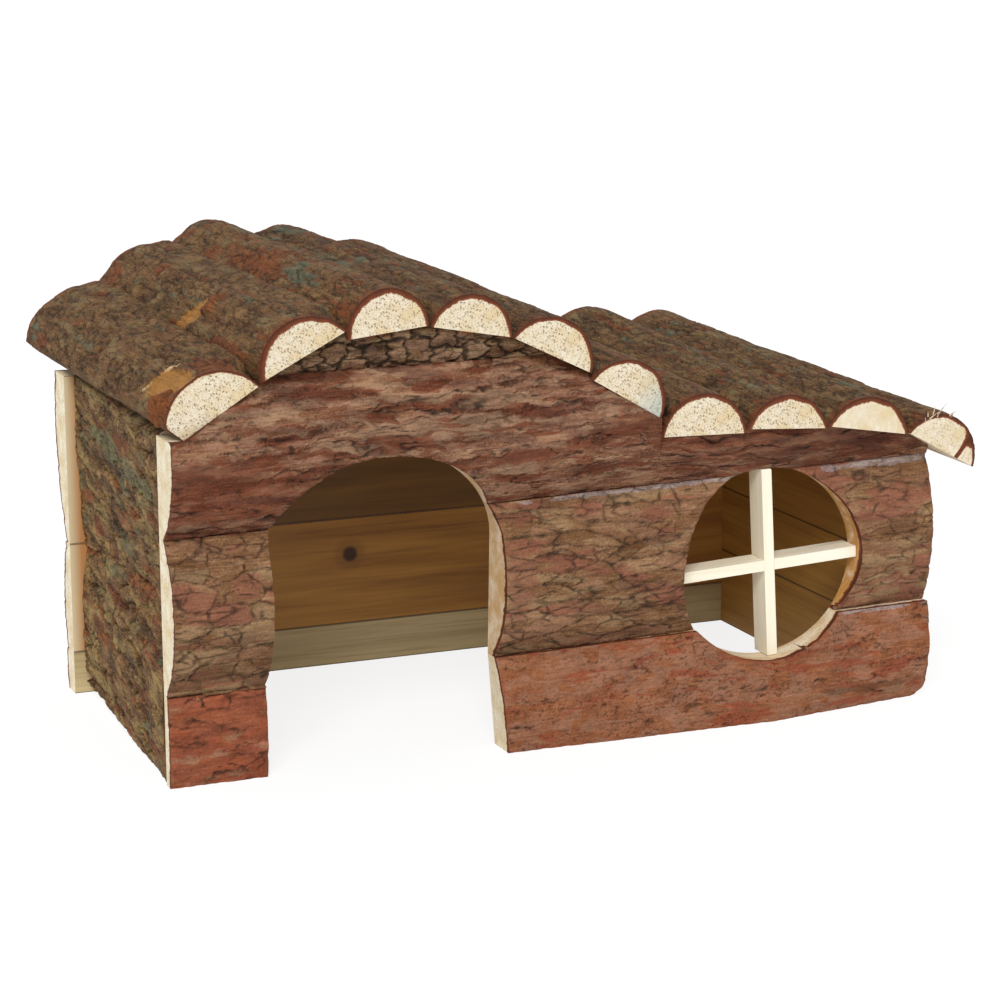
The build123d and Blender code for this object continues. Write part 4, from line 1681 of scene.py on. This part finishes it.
@dataclass
class BackWall:
    """Four boards behind the room, their bark on the outside."""

    step: float = 1.0
    wall: Wall = Wall((1, 0, 0), (0, 1, 0), (0, INNER_DEPTH, 0))

    def build(
        self, bark: bpy.types.Material, sawn: bpy.types.Material, planed: dict[str, bpy.types.Material]
    ) -> None:
        """Builds all boards of the wall.

        Args:
            bark: Material of the bark.
            sawn: Material of the cuts.
            planed: Materials of the inner faces by course.
        """
        for seed, course in enumerate(("bottom", "middle", "upper", "gable"), 23):
            node = f"back_{course}_board"
            solid = Solid(node)
            bottom = line((solid.low[0] + 0.01, solid.low[2]), (solid.high[0] - 0.01, solid.low[2]), self.step)
            tops = np.array([solid.top(x, INNER_DEPTH + 0.5) for x in bottom[:, 0]])
            tops = np.where(np.isnan(tops), solid.low[2] + 0.2, np.maximum(tops, solid.low[2] + 0.2))
            face = Bark(seed, plate_cover=0.6, furrow_depth=0.8, flake_height=0.4, grey=0.4, lichen=0.15)
            edges = columned(bottom, np.stack([bottom[:, 0], tops], -1), self.step)
            BarkBoard(node, self.wall, face, **edges).build((bark, sawn, planed[course]))


@dataclass
class SideWall:
    """Slabs of one side wall, between the front wall and the back wall."""

    nodes: tuple[str, ...]
    wall: Wall
    bark: Bark
    spots: dict[str, tuple[Spot, ...]]
    step: float

    def edge_top(self, solid: Solid, y: float, thick: float) -> tuple[float, float]:
        """Heights of a slab's flat top at its bark and at its inner face.

        Args:
            solid: The CAD slab.
            y: Place along the wall.
            thick: The slab's greatest thickness.

        Returns:
            The height where the top meets the bark, and the one where it meets the inner face.
        """
        first, step = 0.1, 1.5
        tops = [solid.top(self.wall.base[0] + self.wall.out[0] * depth, y) for depth in (first, first + step)]
        slope = (tops[1] - tops[0]) / step
        last = first + step
        for depth in np.arange(last, thick, 0.15):
            flat = tops[0] + slope * (depth - first)
            if not abs(solid.top(self.wall.base[0] + self.wall.out[0] * depth, y) - flat) < 0.2:
                break
            last = depth
        return tops[0] + slope * (last - first), tops[0]

    def build(self, bark: bpy.types.Material, sawn: bpy.types.Material, planed: bpy.types.Material) -> None:
        """Builds all slabs of the wall.

        Args:
            bark: Material of the bark.
            sawn: Material of the cuts.
            planed: Material of the inner faces.
        """
        out = np.array(self.wall.out)
        for index, node in enumerate(self.nodes):
            solid = Solid(node)
            face = np.array(self.wall.base)
            thick = abs(float(np.dot(np.where(out > 0, solid.high, solid.low) - face, out)))
            y = line((solid.low[1] + 0.01,), (solid.high[1] - 0.01,), self.step)[:, 0]
            below = solid.low[2] - RAY_START
            near = (face + out * 0.1)[0]
            foot = [below + solid.reach((near, place, below), (0, 0, 1)) for place in y]
            outer, inner = np.array([self.edge_top(solid, place, thick) for place in y]).T
            BarkBoard(
                node, self.wall, replace(self.bark, seed=self.bark.seed + index),
                **columned(np.stack([y, foot], -1), np.stack([y, outer], -1), self.step),
                spots=self.spots.get(node, ()), inner_top=inner, crown=True, chip=0.2,
            ).build((bark, sawn, planed))


@dataclass
class WindowCross:
    """Upright and crossbar of planed laths, half-lapped, with their arrises broken."""

    arris: float = 0.3

    def build(self, lath: bpy.types.Material) -> None:
        """Copies the laths' CAD meshes, softens their edges and dresses them.

        Args:
            lath: Material of the laths.
        """
        for node in ("window_upright", "window_crossbar"):
            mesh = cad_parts[node].data.copy()
            mesh.name = node + "_lath"
            mesh.materials.clear()
            mesh.materials.append(lath)
            piece = enter(node + "_lath", mesh)
            merge = piece.modifiers.new("merge", "WELD")
            merge.merge_threshold = 0.01 * MM
            soften = piece.modifiers.new("arris", "BEVEL")
            soften.width = self.arris * MM
            soften.segments = 2
            soften.limit_method = "ANGLE"
            soften.angle_limit = math.radians(35)
            depsgraph = bpy.context.evaluated_depsgraph_get()
            piece.data = bpy.data.meshes.new_from_object(piece.evaluated_get(depsgraph))
            piece.modifiers.clear()
            self.lay_grain(piece.data, node == "window_upright")
            carry(piece, node, "lath")

    @staticmethod
    def lay_grain(mesh: bpy.types.Mesh, upright: bool) -> None:
        """Writes the grain vector, which runs along the lath.

        Args:
            mesh: Mesh of the lath.
            upright: Whether the lath stands.
        """
        flat = np.zeros(len(mesh.vertices) * 3)
        mesh.vertices.foreach_get("co", flat)
        points = flat.reshape(-1, 3) / MM
        order = (2, 0, 1) if upright else (0, 2, 1)
        attribute = mesh.attributes.new("grain", "FLOAT_VECTOR", "POINT")
        attribute.data.foreach_set("vector", points[:, order].astype(np.float32).ravel())


@dataclass
class Roof:
    """Ten half logs side by side, with the marks that tell them apart."""

    step: float = 0.75

    def logs(self) -> list[RoofLog]:
        """Lays out the logs.

        Returns:
            The logs from left to right.
        """
        rough = dict(
            plate_length=9.0, plate_width=4.5, furrow_depth=0.6, crack_depth=0.6, pit_depth=0.5, swell=1.3,
            warp=0.8, mottle=0.5, streak=0.5,
        )
        return [
            RoofLog(
                1, Bark(41, rust=0.18, grey=0.35, lichen=0.08, furrow_share=0.12, **rough),
                (
                    Spot(Mark.GOLD, 1, 21.5, 34, 15, turn=-14, depth=1.4, ragged=0.1),
                    Spot(Mark.BARE, 12.5, 22.5, 20, 1.8, turn=-58.5, depth=-0.5, ragged=0.08),
                    Spot(Mark.BARE, -12, 25, 9, 7, strength=0.7, ragged=0.2), Spot(Mark.RUST, -4, 37, 26, 15),
                    # The dark streak is painted shade along the right flank, in the valley next to the second log.
                    Spot(Mark.GREY, 26, 47.5, 44, 2.4, depth=-0.6), Spot(Mark.DARK, 70, 50, 70, 4, strength=0.7),
                    Spot(Mark.RUST, 150, 12, 18, 7, strength=0.8),
                ),
                fill=(0.0, 2.6), shoulder=3.5, rims=(0.5, 0.7), stub=Stub(),
            ),
            RoofLog(
                2, Bark(42, rust=0.2, grey=0.35, lichen=0.2, furrow_share=0.09, **rough),
                (
                    Spot(Mark.GOLD, 68, 10.5, 23, 10, turn=-37, depth=0.8, ragged=0.2),
                    Spot(Mark.RUST, 56, 18, 13, 9, depth=-1.3), Spot(Mark.RUST, 18, 6, 44, 7, strength=0.95),
                    # The dark streak is painted shade along the left flank, in the valley next to the first log.
                    Spot(Mark.DARK, 75, 2, 70, 4, strength=0.7), Spot(Mark.RUST, 172, 13, 20, 9, strength=0.9),
                    Spot(Mark.RUST, 132, 23, 14, 7),
                ),
                fill=(1.8, 2.2), shoulder=0.6, rims=(1.9, 1.0),
            ),
            RoofLog(
                3, Bark(43, rust=0.38, grey=0.3, lichen=0.18, furrow_share=0.07, **rough),
                (Spot(Mark.RUST, 95, 12, 70, 10, strength=0.9), Spot(Mark.LICHEN, 48, 14, 40, 6)), fill=(1.8, 1.8),
                rims=(1.6, 1.3),
            ),
            RoofLog(
                4, Bark(44, level=0.36, rust=0.3, grey=0.3, lichen=0.3, **rough),
                (
                    Spot(Mark.RUST, 135, 24, 66, 5, turn=-8, strength=0.85),
                    Spot(Mark.LICHEN, 176, 18, 34, 10, strength=0.9),
                ),
                fill=(1.6, 1.0), rims=(1.3, 1.1),
            ),
            RoofLog(
                5, Bark(45, level=0.36, rust=0.25, grey=0.35, lichen=0.1, **rough), fill=(1.0, 0.8), rims=(0.9, 1.1)
            ),
            RoofLog(
                6, Bark(46, level=0.38, rust=0.3, grey=0.3, lichen=0.1, **rough), fill=(0.8, 0.7), rims=(0.7, 1.3),
                stain=0.75,
            ),
            RoofLog(7, Bark(47, level=0.42, rust=0.2, grey=0.35, lichen=0.2, **rough), rims=(0.9, 1.3)),
            RoofLog(
                8, Bark(48, level=0.42, rust=0.25, grey=0.35, lichen=0.2, **rough),
                (Spot(Mark.RUST, 62, 28, 40, 6, strength=0.9),), rims=(1.5, 1.1),
            ),
            RoofLog(
                9, Bark(49, level=0.42, rust=0.2, grey=0.35, lichen=0.2, **rough),
                (Spot(Mark.LICHEN, 10, 26, 22, 8, strength=0.9), Spot(Mark.RUST, 140, 34, 30, 5, strength=0.8)),
                rims=(1.3, 1.4), clean=1.0,
            ),
            RoofLog(
                10, Bark(50, level=0.42, rust=0.3, grey=0.3, lichen=0.15, **rough),
                (Spot(Mark.RUST, 50, 30, 40, 6, strength=0.8),), rims=(0.9, 1.1), clean=0.5, splinters=9,
                fissure=0.72,
            ),
        ]

    def build(self, bark: bpy.types.Material, sawn: bpy.types.Material, planed: bpy.types.Material) -> None:
        """Builds all logs."""
        for half_log in self.logs():
            half_log.build((bark, sawn, planed), self.step)


@dataclass(frozen=True)
class Brads:
    """Headless brads that pin the roof and the corners, which stay as the CAD has them."""

    nodes: tuple[str, ...] = BRAD_NODES

    def build(self, wire: bpy.types.Material) -> None:
        """Dresses all brads.

        Args:
            wire: Material of the brads.
        """
        for node in self.nodes:
            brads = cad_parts[node]
            brads.data.materials.clear()
            brads.data.materials.append(wire)
            log.info("%s: dressed in %s", node, wire.name)


# ---------------------------------------------------------------- studio


@dataclass
class Studio:
    """Camera at the photograph's angle, plain soft light and a pale floor."""

    azimuth: float = -22.3569
    elevation: float = 12.3943
    roll: float = -0.3344
    distance: float = 1119.6816
    target: tuple[float, float, float] = (151.3319, 70.0, 71.294)
    lens: float = 108.0
    sky: float = 0.55
    key: float = 2.2
    key_azimuth: float = -27.0
    key_elevation: float = 40.0
    key_softness: float = 24.0
    floor_size: float = 40.0
    floor_glow: float = 0.8
    floor_fill: float = 0.25

    @staticmethod
    def toward(azimuth: float, elevation: float) -> Vector:
        """Direction from the house to a place around it.

        Args:
            azimuth: Degrees to the right of straight before the front wall.
            elevation: Degrees above the floor.

        Returns:
            The direction, of length 1.
        """
        azimuth, elevation = math.radians(azimuth), math.radians(elevation)
        level = math.cos(elevation)
        return Vector((math.sin(azimuth) * level, -math.cos(azimuth) * level, math.sin(elevation)))

    def camera(self) -> None:
        """Adds the camera and makes it the scene's."""
        azimuth, roll = math.radians(self.azimuth), math.radians(self.roll)
        back = self.toward(self.azimuth, self.elevation)
        level = Vector((math.cos(azimuth), math.sin(azimuth), 0.0))
        upright = back.cross(level)
        right = level * math.cos(roll) + upright * math.sin(roll)
        up = upright * math.cos(roll) - level * math.sin(roll)
        eye = (Vector(self.target) + back * self.distance + Vector(ORIGIN)) * MM
        data = bpy.data.cameras.new("camera")
        data.lens = self.lens
        data.sensor_width = 36.0
        data.clip_end = 100.0
        camera = enter("camera", data)
        camera.matrix_world = Matrix.Translation(eye) @ Matrix((right, up, back)).transposed().to_4x4()
        bpy.context.scene.camera = camera

    def light(self) -> None:
        """Adds an even sky and one broad lamp from the front, a little to the left."""
        world = bpy.data.worlds.new("studio")
        bpy.context.scene.world = world
        world.use_nodes = True
        tree = world.node_tree
        tree.nodes.clear()
        rays = add(tree, "LightPath").outputs
        seen = add(tree, "Math", (rays["Is Camera Ray"], rays["Is Glossy Ray"]), operation="MAXIMUM")
        through = add(tree, "Math", (seen, rays["Is Transmission Ray"]), operation="MAXIMUM")
        dim, white = (add(tree, "Background", {"Color": "ffffff", "Strength": level}) for level in (self.sky, 1.0))
        add(tree, "OutputWorld", (add(tree, "MixShader", (through, dim, white)),))
        data = bpy.data.lights.new("key", "SUN")
        data.energy = self.key
        data.angle = math.radians(self.key_softness)
        back = self.toward(self.key_azimuth, self.key_elevation)
        enter("key", data).rotation_euler = back.to_track_quat("Z", "Y").to_euler()

    def floor(self) -> None:
        """Adds the floor, which shows the house's shadow."""
        material, tree = new_material("matt_painted_floor")
        paint = {"Base Color": "fcfcfc", "Roughness": 0.9, "Specular IOR Level": 0.0}
        shader = add(tree, "BsdfPrincipled", paint)
        # The floor is a softly lit sweep: it keeps the shadow, but lighter, and lights the room from below.
        glow = add(tree, "Emission", {"Color": "ffffff", "Strength": 1.05})
        seen = add(tree, "LightPath").outputs["Is Camera Ray"]
        share = add(tree, "MapRange", (seen, 0.0, 1.0, self.floor_fill, self.floor_glow))
        add(tree, "OutputMaterial", (add(tree, "MixShader", (share, shader, glow)),))
        half = self.floor_size / 2
        mesh = bpy.data.meshes.new("floor")
        mesh.from_pydata(
            [(-half, -half, 0), (half, -half, 0), (half, half, 0), (-half, half, 0)], [], [(0, 1, 2, 3)]
        )
        mesh.materials.append(material)
        enter("floor", mesh)

    def build(self) -> None:
        """Sets up the whole studio."""
        bpy.context.scene.view_settings.view_transform = "Standard"
        self.camera()
        self.light()
        self.floor()
        log.info("studio ready")


def main() -> None:
    """Builds the studio and the house, piece by piece."""
    logging.basicConfig(level=logging.INFO, format="%(name)s: %(message)s")
    coarse = 1.0
    Studio().build()
    barks = {
        "red": FlakedBark(
            "pine_bark_red", dark="6b3d24", mid="885334", light="a76b46", rust="8b442a", grey="8b664a",
            scale_cracks=0.0, scale_tone=0.12, streak_length=5.0, streak_width=0.7,
        ).build(),
        "plated": FlakedBark(
            "pine_bark_plated", dark="5a391d", mid="7b5738", light="a68461", grey="8d7050", blush="936a52",
            rust="8a5540", scale_length=11.0, scale_width=5.0, scale_cracks=0.8, scale_tone=0.2, scale_bend=0.45,
        ).build(),
        "flowing": FlakedBark(
            "pine_bark_flowing", dark="48250f", mid="714630", light="98704f", rust="6c331b", grey="94745a",
            patch=0.7, scale_length=11.0, scale_width=2.0, scale_cracks=0.5, streak_length=9.0,
        ).build(),
        "dark": FlakedBark(
            "pine_bark_weathered", dark="3a2510", mid="6f5336", light="9f8463", crack_shade="140c05"
        ).build(),
        "roof": FlakedBark(
            "pine_bark_roof", dark="38220c", mid="674a29", light="937249", grey="786341", rust="793d18",
            lichen="5a624d", gold="a37238", bare="d4b688", blush="755130", contrast=1.45, patch=0.72,
            scale_length=8.0, scale_width=2.6, scale_cracks=0.95, scale_tone=0.22,
        ).build(),
        "side": FlakedBark(
            "pine_bark_furrowed", dark="35210c", mid="73532c", light="a38551", grey="8e7748", rust="804420",
            lichen="676648", blush="876240", contrast=1.6, scale_cracks=1.0,
        ).build(),
    }
    sawn = SawnPine("pine_sawn_across").build()
    edges = SawnPine(
        "pine_sawn_edges", pale="f4ecd6", cloud="e3cfa6", warm="dcc193", pore="a58c66", pore_radius=0.15,
        ring_spacing=3.4,
    ).build()
    planed = {
        "middle": PlanedPine(
            "pine_planed_golden", pale="c18c3e", dark="925e20", knot=(110.0, 43.2), painted_light_end="b07a48"
        ).build(),
        "bottom": PlanedPine("pine_planed_pale", pale="c8b486", dark="a9946a").build(),
        "upper": PlanedPine("pine_planed_brown", pale="845c20", dark="624010", painted_light_end="b07a48").build(),
        "right": PlanedPine("pine_planed_honey", pale="b38538", dark="946626").build(),
    }
    planed["gable"] = planed["upper"]
    lath = PlanedPine(
        "pine_planed_lath", pale="f6f1df", dark="ebe0c6", streak="d3c09a", streak_strength=0.25, joint_dirt_and_shade=0.0
    ).build()
    FrontWall(step=0.5 * coarse).build(barks, edges, planed["middle"])
    BackWall(step=1.0 * coarse).build(barks["side"], edges, planed)
    deep = Bark(
        31, plate_length=14, plate_cover=0.5, furrow_depth=2.0, furrow_share=0.12, furrow_width=8, flake_height=0.5,
        swell=1.8, grey=0.4, rust=0.3, lichen=0.25, tilt=-5,
    )
    SideWall(
        ("left_lower_slab", "left_upper_slab"),
        Wall((0, 1, 0), (-1, 0, 0), (Solid("left_lower_slab").high[0], 0, 0)), deep,
        {
            "left_upper_slab": (Spot(Mark.LICHEN, 55, 102, 110, 10, turn=5, strength=0.9),),
            "left_lower_slab": (Spot(Mark.RUST, 40, 60, 40, 8, strength=0.8),),
        },
        0.8 * coarse,
    ).build(barks["side"], edges, planed["middle"])
    SideWall(
        ("right_lower_slab", "right_middle_slab", "right_upper_slab"),
        Wall((0, 1, 0), (1, 0, 0), (Solid("right_lower_slab").low[0], 0, 0)),
        Bark(35, plate_cover=0.6, furrow_depth=1.0, flake_height=0.4, swell=1.2, grey=0.35, rust=0.35), {},
        1.0 * coarse,
    ).build(barks["side"], edges, planed["right"])
    Roof(step=0.75 * coarse).build(barks["roof"], sawn, planed["middle"])
    WindowCross().build(lath)
    Brads().build(DrawnWire().build())


if __name__ == "__main__":
    main()
